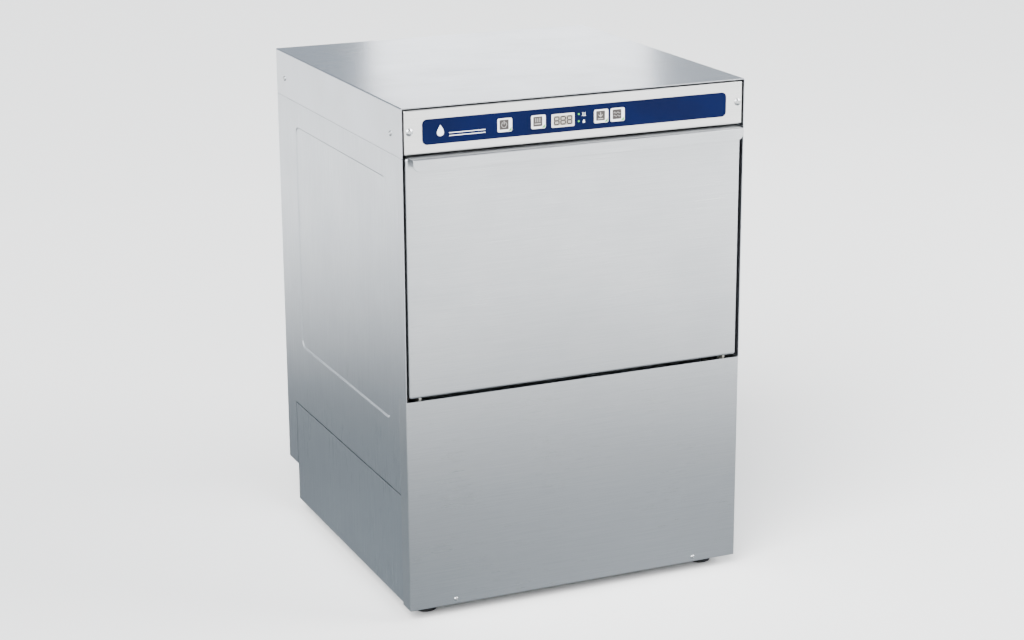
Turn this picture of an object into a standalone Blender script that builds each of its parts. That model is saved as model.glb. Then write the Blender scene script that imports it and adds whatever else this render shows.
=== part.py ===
"""Front-loading undercounter commercial dishwasher, as an assembly of separate pieces.

Metres, +Z up. The front faces -Y, and +X is on the right of a person who faces it.
The origin is on the floor, under the middle of the machine with its door closed.
"""

import math

import bmesh
import bpy
from mathutils import Matrix, Quaternion, Vector

# Overall sizes: a 600 x 610 mm cabinet, 850 mm high, with a 20 mm deep door handle.
WIDTH = 0.600
BODY_DEPTH = 0.610
HANDLE_REACH = 0.020
HEIGHT = 0.850
HALF = WIDTH / 2
FRONT = HANDLE_REACH - (BODY_DEPTH + HANDLE_REACH) / 2
BACK = FRONT + BODY_DEPTH

# Sheet metal.
SHEET = 0.0012
THICK_SHEET = 0.0015
GAP = 0.0003
FOLD = 0.002
SOFT_FOLD = 0.004

# Heights of the cabinet's joint lines, from the floor.
PANEL_BOTTOM = 0.018
SIDE_BOTTOM = 0.0225
SIDE_SPLIT = 0.211
PANEL_TOP = 0.376
DOOR_BOTTOM = 0.381
COVER_BOTTOM = 0.771
FASCIA_BOTTOM = 0.776
REAR_BOTTOM = 0.091

# Depths of the cabinet's joint lines, along Y.
WRAP_BACK = FRONT + 0.032
SERVICE_FRONT = FRONT + 0.560
SERVICE_MIDDLE = (SERVICE_FRONT + 0.001 + BACK - SHEET - GAP) / 2

# Pressed field of the side panels.
FIELD_FRONT = FRONT + 0.072
FIELD_BACK = FRONT + 0.515
FIELD_BOTTOM = 0.3265
FIELD_TOP = 0.7290
FIELD_RADIUS = 0.015
FIELD_PRESS = 0.0015

# Door and its hinge.
DOOR_HALF = 0.294
DOOR_DEPTH = 0.038
PIVOT_Y = FRONT + 0.014
PIVOT_Z = DOOR_BOTTOM + 0.014
INNER_FACE = FRONT + DOOR_DEPTH
HINGE_NOTCH = (0.269, 0.2895)
LEVER = 0.060
LEVER_X = (0.272, 0.276)
BRACKET_X = (0.281, 0.285)
PIN_RADIUS = 0.005
EYE_RADIUS = 0.0035
LIP_BOTTOM = 0.7528
HANDLE_TOP = 0.7728
HANDLE_HALF = 0.2885

# Wash chamber, its opening and the rack rails.
CHAMBER_HALF = 0.262
CHAMBER_FRONT = FRONT + 0.046
CHAMBER_BACK = 0.262
CHAMBER_ROOF = 0.7672
CHAMBER_BOTTOM = 0.366
OPENING_HALF = 0.255
OPENING_BOTTOM = 0.402
OPENING_TOP = 0.748
RAIL_TOP = 0.427
SUMP_HALF = 0.125
SUMP_TOP = 0.300
SUMP_BOTTOM = 0.262
ARM_Y = 0.006
TANK_BACK = CHAMBER_BACK - 0.004
DRAIN_X = 0.085
DRAIN_Y = ARM_Y + 0.085
SUCTION_X = -0.088
HEATER_X = 0.150
HEATER_Z = 0.349
HEATER_ROD = 0.004

# Spray arms: each pair turns on a spindle that starts at a shoulder of its hub.
LOWER_SHOULDER = 0.3835
UPPER_SHOULDER = 0.7585
SPINDLE_LENGTH = 0.034
WASH_ARM = (0.234, 0.019)
RINSE_ARM = (0.222, 0.010)

# Control panel.
MEMBRANE_HALF = 0.2655
MEMBRANE_BOTTOM = 0.790
MEMBRANE_TOP = 0.830
KEY_SIZE = (0.0245, 0.0215)
KEY_X = (-0.1273, -0.0697, 0.0397, 0.0687)
KEY_Z = 0.8100
DISPLAY_SIZE = (0.040, 0.0215)
DISPLAY_X = -0.027
BOARD_Y = FRONT + 0.0130

# Feet.
FOOT_X = 0.256
FOOT_Y = (FRONT + 0.045, 0.222)
FOOT_RADIUS = 0.019
STUD_RADIUS = 0.005

# Wash pump, in the lower compartment, with its shaft along X.
PUMP_Y = ARM_Y
PUMP_Z = 0.130
CASING_RADIUS = 0.064
CASING_FRONT = -0.026
CASING_BACK = 0.022
MOTOR_RADIUS = 0.058
MOTOR_LENGTH = 0.165
INLET_RADIUS = 0.024
INLET_LENGTH = 0.022
OUTLET_RADIUS = 0.018
REAR_OUTLET = 0.090
RISER_Y = 0.290
RISER_Z = 0.806
RISER_RADIUS = 0.0165

# Places along X where the water and the current enter below.
INLET_X = -0.180
CABLE_X = 0.180

# Boiler.
BOILER_X = -0.178
BOILER_Y = 0.130
BOILER_RADIUS = 0.078
BOILER_BOTTOM = 0.032
BOILER_TOP = 0.262

AXES = {"X": Vector((1, 0, 0)), "Y": Vector((0, 1, 0)), "Z": Vector((0, 0, 1))}


# Materials.


def finish(name, colour, roughness, metallic):
    """A Principled material of one linear colour."""
    material = bpy.data.materials.new(name)
    material.use_nodes = True
    shader = material.node_tree.nodes["Principled BSDF"]
    shader.inputs["Base Color"].default_value = (*colour, 1)
    shader.inputs["Roughness"].default_value = roughness
    shader.inputs["Metallic"].default_value = metallic
    material.diffuse_color = (*colour, 1)
    return material


def make_finishes():
    """Every finish of the machine, by its short name."""
    return {
        "brushed": finish("brushed_steel", (0.66, 0.67, 0.68), 0.34, 1.0),
        "fascia": finish("fascia_steel", (0.80, 0.80, 0.79), 0.30, 1.0),
        "inner": finish("chamber_steel", (0.55, 0.56, 0.57), 0.28, 1.0),
        "zinc": finish("zinc_plated_steel", (0.48, 0.49, 0.50), 0.45, 1.0),
        "blue": finish("blue_membrane", (0.012, 0.030, 0.140), 0.35, 0.0),
        "key": finish("silver_key_plastic", (0.60, 0.61, 0.62), 0.40, 0.2),
        "display": finish("display_window", (0.42, 0.42, 0.40), 0.20, 0.2),
        "rubber": finish("black_rubber", (0.020, 0.020, 0.021), 0.70, 0.0),
        "black": finish("black_plastic", (0.030, 0.030, 0.032), 0.45, 0.0),
        "grey": finish("grey_plastic", (0.28, 0.29, 0.30), 0.50, 0.0),
        "board": finish("green_board", (0.020, 0.120, 0.050), 0.50, 0.0),
        "cast": finish("cast_aluminium", (0.50, 0.51, 0.52), 0.50, 0.9),
        "paint": finish("motor_paint", (0.060, 0.065, 0.072), 0.45, 0.2),
        "brass": finish("brass", (0.60, 0.42, 0.16), 0.35, 1.0),
        "element": finish("heating_element_steel", (0.30, 0.28, 0.26), 0.40, 1.0),
    }


# Shapes.


def add_object(name, data, material):
    """Links a new object for the mesh or curve, with its one material."""
    obj = bpy.data.objects.new(name, data)
    obj.data.materials.append(material)
    bpy.context.scene.collection.objects.link(obj)
    return obj


def from_bmesh(name, bm, material, smooth=False):
    """A mesh object from a bmesh, with its faces turned out."""
    bmesh.ops.recalc_face_normals(bm, faces=bm.faces)
    mesh = bpy.data.meshes.new(name)
    bm.to_mesh(mesh)
    bm.free()
    if smooth:
        mesh.shade_smooth()
        mesh.set_sharp_from_angle(angle=math.radians(35))
    return add_object(name, mesh, material)


def box_bmesh(low, high):
    """A closed box between two corners."""
    bm = bmesh.new()
    size = [b - a for a, b in zip(low, high)]
    centre = [(a + b) / 2 for a, b in zip(low, high)]
    matrix = Matrix.Translation(centre) @ Matrix.Diagonal((*size, 1))
    bmesh.ops.create_cube(bm, size=1.0, matrix=matrix)
    return bm


def box(name, low, high, material, edge=0.0):
    """A solid box, with small bevels where edge is given."""
    bm = box_bmesh(low, high)
    if edge:
        bmesh.ops.bevel(bm, geom=bm.edges[:], offset=edge, segments=1, affect="EDGES")
    return from_bmesh(name, bm, material)


def helper(obj):
    """Marks an object as a tool that other objects' Booleans use."""
    obj.hide_render = True
    obj.display_type = "WIRE"
    return obj


def combine(obj, tool, operation):
    """Adds a Boolean of the tool to the object, and hides the tool."""
    helper(tool)
    modifier = obj.modifiers.new(tool.name, "BOOLEAN")
    modifier.object = tool
    modifier.operation = operation
    modifier.solver = "EXACT"
    return obj


def cut(obj, tool):
    """Takes the tool's shape away from the object."""
    return combine(obj, tool, "DIFFERENCE")


def join(obj, tool):
    """Adds the tool's shape to the object, as one body."""
    return combine(obj, tool, "UNION")


def folded_shell(name, low, high, open_sides, material, thickness=SHEET, fold=FOLD):
    """A folded sheet box: the outside of its walls is the given box, and some sides are left open.

    open_sides lists the outward directions of the missing walls, such as "-Y".
    """
    bm = box_bmesh(low, high)
    gone = []
    for face in bm.faces:
        for side in open_sides:
            direction = AXES[side[1]] * (1 if side[0] == "+" else -1)
            if face.normal.dot(direction) > 0.9:
                gone.append(face)
    bmesh.ops.delete(bm, geom=gone, context="FACES")
    folds = [edge for edge in bm.edges if len(edge.link_faces) == 2]
    if fold:
        bmesh.ops.bevel(bm, geom=folds, offset=fold, segments=2, profile=0.5, affect="EDGES")
    mesh = bpy.data.meshes.new(name)
    bm.to_mesh(mesh)
    bm.free()
    obj = add_object(name, mesh, material)
    thicken(obj, thickness)
    return obj


def thicken(obj, thickness, offset=-1.0):
    """Gives an open surface its wall, inwards from its outer face."""
    modifier = obj.modifiers.new("wall", "SOLIDIFY")
    modifier.thickness = thickness
    modifier.offset = offset
    modifier.use_even_offset = True


def place_on_axis(point, axis, along):
    """A 2-D outline point at a distance along an axis, in world order."""
    first, second = point
    if axis == "X":
        return (along, first, second)
    if axis == "Y":
        return (first, along, second)
    return (first, second, along)


def prism_bmesh(outline, axis, start, end):
    """A closed prism of a 2-D outline between two places along an axis."""
    bm = bmesh.new()
    bottom = [bm.verts.new(place_on_axis(point, axis, start)) for point in outline]
    face = bm.faces.new(bottom)
    made = bmesh.ops.extrude_face_region(bm, geom=[face])
    moved = [item for item in made["geom"] if isinstance(item, bmesh.types.BMVert)]
    bmesh.ops.translate(bm, verts=moved, vec=AXES[axis] * (end - start))
    return bm


def prism(name, outline, axis, start, end, material):
    """A solid of one outline: (y, z) points along X, (x, z) along Y or (x, y) along Z."""
    return from_bmesh(name, prism_bmesh(outline, axis, start, end), material)


def rounded_rectangle(low, high, radius, steps=4):
    """The outline of a rectangle with round corners."""
    points = []
    centres = (
        (high[0] - radius, high[1] - radius),
        (low[0] + radius, high[1] - radius),
        (low[0] + radius, low[1] + radius),
        (high[0] - radius, low[1] + radius),
    )
    for corner, centre in enumerate(centres):
        for step in range(steps + 1):
            angle = math.pi / 2 * (corner + step / steps)
            points.append((
                centre[0] + radius * math.cos(angle),
                centre[1] + radius * math.sin(angle),
            ))
    return points


def slot_outline(start, end, radius, steps=6):
    """The outline of a bar with round ends, from one centre to the other."""
    heading = math.atan2(end[1] - start[1], end[0] - start[0])
    points = []
    for centre, turn in ((end, -math.pi / 2), (start, math.pi / 2)):
        for step in range(steps + 1):
            angle = heading + turn + math.pi * step / steps
            points.append((
                centre[0] + radius * math.cos(angle),
                centre[1] + radius * math.sin(angle),
            ))
    return points


def circle_outline(centre, radius, steps=16):
    """The outline of a circle, with a point on each axis direction."""
    return [
        (
            centre[0] + radius * math.cos(math.tau * step / steps),
            centre[1] + radius * math.sin(math.tau * step / steps),
        )
        for step in range(steps)
    ]


def turned_bmesh(profile, origin, axis, segments):
    """A closed body of revolution. The profile holds (distance along the axis, radius) points."""
    turn_to = {
        "X": Matrix.Rotation(math.pi / 2, 4, "Y"),
        "Y": Matrix.Rotation(-math.pi / 2, 4, "X"),
        "Z": Matrix.Identity(4),
    }[axis]
    bm = bmesh.new()
    rings = []
    for along, radius in profile:
        if radius == 0:
            rings.append([bm.verts.new((0, 0, along))])
            continue
        ring = []
        for step in range(segments):
            angle = math.tau * step / segments
            ring.append(bm.verts.new((radius * math.cos(angle), radius * math.sin(angle), along)))
        rings.append(ring)
    for ring, following in zip(rings, rings[1:] + rings[:1]):
        bridge(bm, ring, following)
    bmesh.ops.transform(bm, matrix=Matrix.Translation(origin) @ turn_to, verts=bm.verts[:])
    return bm


def bridge(bm, ring, following):
    """Faces between two rings of a turned body, either of which may be one point on the axis."""
    count = max(len(ring), len(following))
    if count == 1:
        return
    for step in range(count):
        after = (step + 1) % count
        if len(ring) == 1:
            bm.faces.new((ring[0], following[step], following[after]))
        elif len(following) == 1:
            bm.faces.new((ring[step], ring[after], following[0]))
        else:
            bm.faces.new((ring[step], ring[after], following[after], following[step]))


def turned(name, profile, origin, axis, material, segments=16):
    """A turned piece."""
    return from_bmesh(name, turned_bmesh(profile, origin, axis, segments), material, smooth=True)


def disc_profile(start, end, radius):
    """The profile of a plain cylinder."""
    return [(start, 0), (start, radius), (end, radius), (end, 0)]


def rod(name, points, radius, material, resolution=2):
    """A round bar or hose along points, with closed ends."""
    curve = bpy.data.curves.new(name, "CURVE")
    curve.dimensions = "3D"
    curve.bevel_depth = radius
    curve.bevel_resolution = resolution
    curve.use_fill_caps = True
    spline = curve.splines.new("POLY")
    spline.points.add(len(points) - 1)
    for target, point in zip(spline.points, points):
        target.co = (*point, 1)
    return add_object(name, curve, material)


def rod_mesh(name, points, radius, material, resolution=2):
    """The same bar as a mesh, so that Booleans can use it."""
    curve = rod(name + "_path", points, radius, material, resolution)
    bpy.context.view_layer.update()
    graph = bpy.context.evaluated_depsgraph_get()
    mesh = bpy.data.meshes.new_from_object(curve.evaluated_get(graph))
    bpy.data.objects.remove(curve)
    bm = bmesh.new()
    bm.from_mesh(mesh)
    bmesh.ops.remove_doubles(bm, verts=bm.verts[:], dist=0.00001)
    return from_bmesh(name, bm, material, smooth=True)


def rounded_path(corners, radius, steps=5):
    """A path through straight runs, with an arc of the given radius at each inner corner."""
    path = [Vector(corners[0])]
    for before, corner, after in zip(corners, corners[1:], corners[2:]):
        corner = Vector(corner)
        back = (Vector(before) - corner).normalized()
        ahead = (Vector(after) - corner).normalized()
        half = back.angle(ahead) / 2
        reach = radius / math.tan(half)
        centre = corner + (back + ahead).normalized() * (radius / math.sin(half))
        start = corner + back * reach - centre
        end = corner + ahead * reach - centre
        turn = start.rotation_difference(end)
        for step in range(steps + 1):
            path.append(centre + Quaternion(turn.axis, turn.angle * step / steps) @ start)
    path.append(Vector(corners[-1]))
    return path


def parent_at(name, place, children):
    """An empty on a joint's axis, which carries the pieces that move about it."""
    empty = bpy.data.objects.new(name, None)
    empty.location = place
    bpy.context.scene.collection.objects.link(empty)
    for child in children:
        child.parent = empty
        child.matrix_parent_inverse = Matrix.Translation(place).inverted()


def sides():
    """The two sides of the machine: a name and the sign of X."""
    return (("left", -1), ("right", 1))


def span(sign, near, far):
    """Two X values in rising order, at distances from the middle on one side."""
    return sorted((sign * near, sign * far))


# Cabinet.


def make_top_cover(f):
    """The lid, which is open in front for the control panel and reaches down over the sides."""
    low = (-HALF, FRONT, COVER_BOTTOM + GAP)
    high = (HALF, BACK, HEIGHT)
    folded_shell("top_cover", low, high, ("-Z", "-Y"), f["brushed"], thickness=THICK_SHEET)


def side_outline():
    """The upper side panel: its lower front corner is cut away for the wrap of the front panel."""
    return [
        (FRONT, PANEL_TOP + GAP),
        (WRAP_BACK + GAP, PANEL_TOP + GAP),
        (WRAP_BACK + GAP, SIDE_SPLIT),
        (SERVICE_FRONT, SIDE_SPLIT),
        (SERVICE_FRONT, COVER_BOTTOM),
        (FRONT, COVER_BOTTOM),
    ]


def make_side_panel(side, sign, f):
    """An upper side panel, with a large field pressed inwards."""
    start, end = span(sign, HALF - SHEET, HALF)
    name = f"{side}_side_panel"
    panel = prism(name, side_outline(), "X", start, end, f["brushed"])
    low, high = (FIELD_FRONT, FIELD_BOTTOM), (FIELD_BACK, FIELD_TOP)
    outline = rounded_rectangle(low, high, FIELD_RADIUS)
    start, end = span(sign, HALF - SHEET - FIELD_PRESS, HALF - SHEET / 2)
    join(panel, prism(name + "_field", outline, "X", start, end, f["brushed"]))
    low = [value + SHEET for value in low]
    high = [value - SHEET for value in high]
    outline = rounded_rectangle(low, high, FIELD_RADIUS - SHEET)
    start, end = span(sign, HALF - FIELD_PRESS, HALF + SHEET)
    cut(panel, prism(name + "_press", outline, "X", start, end, f["brushed"]))


def make_lower_side_panel(side, sign, f):
    """A removable lower side panel, folded under at the bottom."""
    outer, inner = sign * HALF, sign * (HALF - 0.020)
    low = (min(outer, inner), WRAP_BACK + GAP, SIDE_BOTTOM)
    high = (max(outer, inner), SERVICE_FRONT - 0.002, SIDE_SPLIT - GAP)
    inward = "+X" if sign < 0 else "-X"
    folded_shell(f"{side}_lower_panel", low, high, (inward, "-Y", "+Y", "+Z"), f["brushed"])


def make_lower_front_panel(f):
    """The service panel under the door, which wraps round both corners."""
    low = (-HALF, FRONT, PANEL_BOTTOM)
    high = (HALF, WRAP_BACK, PANEL_TOP)
    folded_shell("lower_front_panel", low, high, ("+Y", "+Z"), f["brushed"])


def make_front_frame(f):
    """The ring that the door closes on, with corners cut low down for the hinges."""
    half = HALF - SHEET - GAP
    low = (-half, CHAMBER_FRONT, CHAMBER_BOTTOM + 0.001)
    high = (half, CHAMBER_FRONT + 0.016, COVER_BOTTOM - 0.001)
    frame = folded_shell("front_frame", low, high, ("+Y", "-Z"), f["inner"])
    outline = rounded_rectangle((-OPENING_HALF, OPENING_BOTTOM), (OPENING_HALF, OPENING_TOP), 0.012)
    window = prism("front_frame_window", outline, "Y", CHAMBER_FRONT - 0.005, 0, f["inner"])
    cut(frame, window)
    for side, sign in sides():
        start, end = span(sign, HINGE_NOTCH[0] - 0.002, HINGE_NOTCH[1] + 0.001)
        notch = box(
            f"front_frame_{side}_hinge_notch",
            (start, CHAMBER_FRONT - 0.005, CHAMBER_BOTTOM - 0.005),
            (end, CHAMBER_FRONT + 0.030, PIVOT_Z + 0.016),
            f["inner"],
        )
        cut(frame, notch)


def make_rear_cover(f):
    """The housing behind the chamber, which holds the hoses and the connections."""
    low = (-HALF, SERVICE_FRONT + GAP, REAR_BOTTOM)
    high = (HALF, BACK, COVER_BOTTOM)
    folded_shell("rear_cover", low, high, ("-Y", "+Z", "-Z"), f["brushed"])


def make_connection_plate(f):
    """The strip that closes the rear housing below, where the hoses and the cable enter."""
    half = HALF - SHEET - GAP
    low = (-half, SERVICE_FRONT + 0.001, REAR_BOTTOM)
    high = (half, BACK - SHEET - GAP, REAR_BOTTOM + THICK_SHEET)
    plate = box("connection_plate", low, high, f["zinc"])
    start, end = REAR_BOTTOM - 0.01, REAR_BOTTOM + 0.01
    holes = (("inlet", INLET_X, 0.0125), ("drain", DRAIN_X, 0.0162), ("cable", CABLE_X, 0.0105))
    for name, x, radius in holes:
        outline = circle_outline((x, SERVICE_MIDDLE), radius, 16)
        cut(plate, prism(f"plate_{name}_hole", outline, "Z", start, end, f["zinc"]))


def make_base_tray(f):
    """The pan that carries the pump and the boiler, with a higher wall at the rear."""
    half = HALF - SHEET - 0.003
    low = (-half, WRAP_BACK - 0.020, SIDE_BOTTOM + SHEET + GAP)
    high = (half, SERVICE_FRONT - 0.003, 0.200)
    tray = folded_shell("base_tray", low, high, ("+Z",), f["zinc"], thickness=THICK_SHEET)
    clearance = box(
        "base_tray_wall_cut",
        (-HALF, FRONT, 0.062),
        (HALF, SERVICE_FRONT - 0.012, HEIGHT),
        f["zinc"],
    )
    cut(tray, clearance)
    outline = circle_outline((0, PUMP_Z), RISER_RADIUS + 0.001, 20)
    start, end = SERVICE_FRONT - 0.01, SERVICE_FRONT
    cut(tray, prism("base_tray_riser_hole", outline, "Y", start, end, f["zinc"]))
    start, end = SIDE_BOTTOM - 0.01, SIDE_BOTTOM + 0.02
    for number, (x, y) in enumerate(foot_places()):
        outline = circle_outline((x, y), STUD_RADIUS + 0.0006)
        cut(tray, prism(f"foot_hole_{number}", outline, "Z", start, end, f["zinc"]))


def foot_places():
    """The four feet, front left first and then clockwise from above."""
    return [
        (-FOOT_X, FOOT_Y[0]),
        (-FOOT_X, FOOT_Y[1]),
        (FOOT_X, FOOT_Y[1]),
        (FOOT_X, FOOT_Y[0]),
    ]


def make_feet(f):
    """Four screw-in feet: a round pad, a neck for a spanner and a stud."""
    profile = [
        (0, 0),
        (0, FOOT_RADIUS - 0.002),
        (0.002, FOOT_RADIUS),
        (0.008, FOOT_RADIUS),
        (0.012, 0.011),
        (0.0212, 0.011),
        (0.0212, STUD_RADIUS),
        (0.060, STUD_RADIUS),
        (0.060, 0),
    ]
    names = ("front_left_foot", "rear_left_foot", "rear_right_foot", "front_right_foot")
    for name, (x, y) in zip(names, foot_places()):
        foot = turned(name, profile, (0, 0, 0), "Z", f["black"], segments=16)
        foot.location = (x, y, 0)


def make_support_frame(side, sign, f):
    """A portal of two posts and a rail, which carries the tank and the chamber."""
    start, end = span(sign, 0.2895, 0.2935)
    floor = SIDE_BOTTOM + SHEET + GAP + THICK_SHEET + GAP
    post = 0.022
    front, rear = CHAMBER_FRONT + 0.018, SERVICE_FRONT - 0.016
    outline = [
        (front, floor),
        (front + post, floor),
        (front + post, 0.330),
        (rear - post, 0.330),
        (rear - post, floor),
        (rear, floor),
        (rear, 0.352),
        (front, 0.352),
    ]
    prism(f"{side}_support_frame", outline, "X", start, end, f["zinc"])


# Control panel.


def key_outline(x, z, grow):
    """The rounded square of a key, grown on every side."""
    half_x = KEY_SIZE[0] / 2 + grow
    half_z = KEY_SIZE[1] / 2 + grow
    return rounded_rectangle((x - half_x, z - half_z), (x + half_x, z + half_z), 0.0025 + grow, 2)


def display_outline(grow):
    """The rectangle of the display window, grown on every side."""
    half_x = DISPLAY_SIZE[0] / 2 + grow
    half_z = DISPLAY_SIZE[1] / 2 + grow
    low = (DISPLAY_X - half_x, KEY_Z - 0.001 - half_z)
    high = (DISPLAY_X + half_x, KEY_Z - 0.001 + half_z)
    return rounded_rectangle(low, high, 0.002 + grow, 2)


def cut_control_holes(obj, f):
    """The holes of the four keys and of the display, through the fascia or its membrane."""
    outlines = [key_outline(x, KEY_Z, 0.0005) for x in KEY_X]
    outlines.append(display_outline(GAP))
    start, end = FRONT - 0.01, FRONT + 0.004
    for number, outline in enumerate(outlines):
        cut(obj, prism(f"{obj.name}_hole_{number}", outline, "Y", start, end, f["key"]))


def make_control_fascia(f):
    """The front of the control panel, which closes the lid's open front."""
    half = HALF - THICK_SHEET - 0.0008
    low = (-half, FRONT, FASCIA_BOTTOM)
    high = (half, FRONT + 0.022, HEIGHT - THICK_SHEET - GAP)
    fascia = folded_shell("control_fascia", low, high, ("+Y",), f["fascia"])
    cut_control_holes(fascia, f)


def make_control_membrane(f):
    """The printed film stuck on the fascia, cut out for the keys and the display."""
    low = (-MEMBRANE_HALF, MEMBRANE_BOTTOM)
    high = (MEMBRANE_HALF, MEMBRANE_TOP)
    outline = rounded_rectangle(low, high, 0.008)
    front = FRONT - GAP
    membrane = prism("control_membrane", outline, "Y", front - 0.0006, front, f["blue"])
    cut_control_holes(membrane, f)


def make_display_module(f):
    """The display: a window that stands in the film and a body that reaches to the board."""
    start, end = FRONT - 0.0014, FRONT + 0.0035
    display = prism("display_module", display_outline(0), "Y", start, end, f["display"])
    back = box(
        "display_module_back",
        (DISPLAY_X - 0.026, FRONT + 0.0030, KEY_Z - 0.015),
        (DISPLAY_X + 0.026, BOARD_Y - GAP, KEY_Z + 0.013),
        f["display"],
    )
    join(display, back)


def make_key(number, x, f):
    """A push key: a cap through the fascia, a flange behind it and a stem to the board's switch."""
    name = f"button_{number}"
    key = prism(name, key_outline(0, 0, 0), "Y", -0.0022, 0.0022, f["key"])
    flange = box(name + "_flange", (-0.0138, 0.0016, -0.0125), (0.0138, 0.0032, 0.0125), f["key"])
    stem = prism(name + "_stem", circle_outline((0, 0), 0.004, 12), "Y", 0.0030, 0.0112, f["key"])
    join(key, flange)
    join(key, stem)
    for piece in (key, flange, stem):
        piece.location = (x, FRONT, KEY_Z)


def make_control_board(f):
    """The circuit board behind the keys and the display."""
    low = (-0.150, BOARD_Y, MEMBRANE_BOTTOM - 0.004)
    high = (0.105, BOARD_Y + 0.0016, MEMBRANE_TOP + 0.004)
    box("control_board", low, high, f["board"])


# Door.


def cut_hinge_notches(obj, bottom, top, front, back, f):
    """The gaps in a door panel through which the lever and the bracket pass."""
    for side, sign in sides():
        start, end = span(sign, *HINGE_NOTCH)
        low, high = (start, front, bottom), (end, back, top)
        cut(obj, box(f"{obj.name}_{side}_notch", low, high, f["inner"]))


def make_door_outer_panel(f):
    """The door's outer skin, folded back on all four sides."""
    low = (-DOOR_HALF, FRONT, DOOR_BOTTOM)
    high = (DOOR_HALF, INNER_FACE - SHEET - GAP, COVER_BOTTOM)
    panel = folded_shell("door_outer_panel", low, high, ("+Y",), f["brushed"], fold=SOFT_FOLD)
    cut_hinge_notches(panel, DOOR_BOTTOM - 0.01, PIVOT_Z + 0.014, FRONT + 0.0045, 0, f)
    return panel


def make_door_inner_panel(f):
    """The liner: a pan inside the outer panel, with a drawn field that faces the chamber."""
    half = DOOR_HALF - SHEET - GAP
    low = (-half, INNER_FACE - 0.016, DOOR_BOTTOM + SHEET + GAP)
    high = (half, INNER_FACE, COVER_BOTTOM - SHEET - GAP)
    panel = folded_shell("door_inner_panel", low, high, ("-Y",), f["inner"], fold=SOFT_FOLD)
    low, high = (-0.236, OPENING_BOTTOM + 0.022), (0.236, OPENING_TOP - 0.018)
    radius, drawn = 0.020, 0.006
    outline = rounded_rectangle(low, high, radius)
    start, end = INNER_FACE - SHEET / 2, INNER_FACE + drawn
    join(panel, prism("door_field", outline, "Y", start, end, f["inner"]))
    low = [value + SHEET for value in low]
    high = [value - SHEET for value in high]
    outline = rounded_rectangle(low, high, radius - SHEET)
    start, end = INNER_FACE - 0.003, INNER_FACE + drawn - SHEET
    cut(panel, prism("door_field_hollow", outline, "Y", start, end, f["inner"]))
    cut_hinge_notches(panel, DOOR_BOTTOM - 0.01, PIVOT_Z + 0.014, FRONT, 0, f)
    return panel


def make_door_handle(f):
    """A folded sheet: a flange on top of the door, a top that reaches out and a lip that turns down."""
    lip = FRONT - HANDLE_REACH
    flange_back = FRONT + 0.030
    outline = [
        (lip, LIP_BOTTOM),
        (lip + THICK_SHEET, LIP_BOTTOM),
        (lip + THICK_SHEET, HANDLE_TOP - THICK_SHEET),
        (flange_back, HANDLE_TOP - THICK_SHEET),
        (flange_back, HANDLE_TOP),
        (lip + SHEET, HANDLE_TOP),
        (lip, HANDLE_TOP - SHEET),
    ]
    handle = prism("door_handle", outline, "X", -HANDLE_HALF, HANDLE_HALF, f["brushed"])
    corner, steps = 0.012, 6
    for side, sign in sides():
        x = sign * HANDLE_HALF
        arc = []
        for step in range(steps + 1):
            angle = math.pi / 2 * step / steps
            across = x - sign * corner * (1 - math.sin(angle))
            arc.append((across, LIP_BOTTOM + corner * (1 - math.cos(angle))))
        outer = [(x + sign * 0.002, LIP_BOTTOM + corner), (x + sign * 0.002, LIP_BOTTOM - 0.002)]
        outline = arc + outer + [(x - sign * corner, LIP_BOTTOM - 0.002)]
        tool = prism(f"handle_{side}_corner", outline, "Y", lip - 0.002, lip + 0.010, f["brushed"])
        cut(handle, tool)
    return handle


def make_door_gasket(f):
    """The rubber section round the top and sides of the opening."""
    inner, outer = OPENING_HALF + 0.004, OPENING_HALF + 0.012
    outline = [
        (-outer, OPENING_BOTTOM + 0.012),
        (-inner, OPENING_BOTTOM + 0.012),
        (-inner, OPENING_TOP + 0.006),
        (inner, OPENING_TOP + 0.006),
        (inner, OPENING_BOTTOM + 0.012),
        (outer, OPENING_BOTTOM + 0.012),
        (outer, OPENING_TOP + 0.014),
        (-outer, OPENING_TOP + 0.014),
    ]
    prism("door_gasket", outline, "Y", INNER_FACE + GAP, CHAMBER_FRONT - GAP, f["rubber"])


def hole_tool(name, centre, radius, start, end, f, steps=16):
    """A round cutter along X at a (y, z) centre."""
    return prism(name, circle_outline(centre, radius, steps), "X", start, end, f["zinc"])


def make_hinge_arm(side, sign, f):
    """The door's arm: it stiffens the door's corner and carries the lever that the spring pulls."""
    start, end = span(sign, *LEVER_X)
    name = f"{side}_hinge_arm"
    outline = slot_outline((PIVOT_Y, PIVOT_Z - LEVER), (PIVOT_Y, PIVOT_Z + 0.180), 0.008)
    arm = prism(name, outline, "X", start, end, f["zinc"])
    start, end = start - 0.01, end + 0.01
    pivot, eye = (PIVOT_Y, PIVOT_Z), (PIVOT_Y, PIVOT_Z - LEVER)
    cut(arm, hole_tool(name + "_pivot", pivot, PIN_RADIUS + 0.0004, start, end, f))
    cut(arm, hole_tool(name + "_eye", eye, EYE_RADIUS, start, end, f, 10))
    return arm


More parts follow.
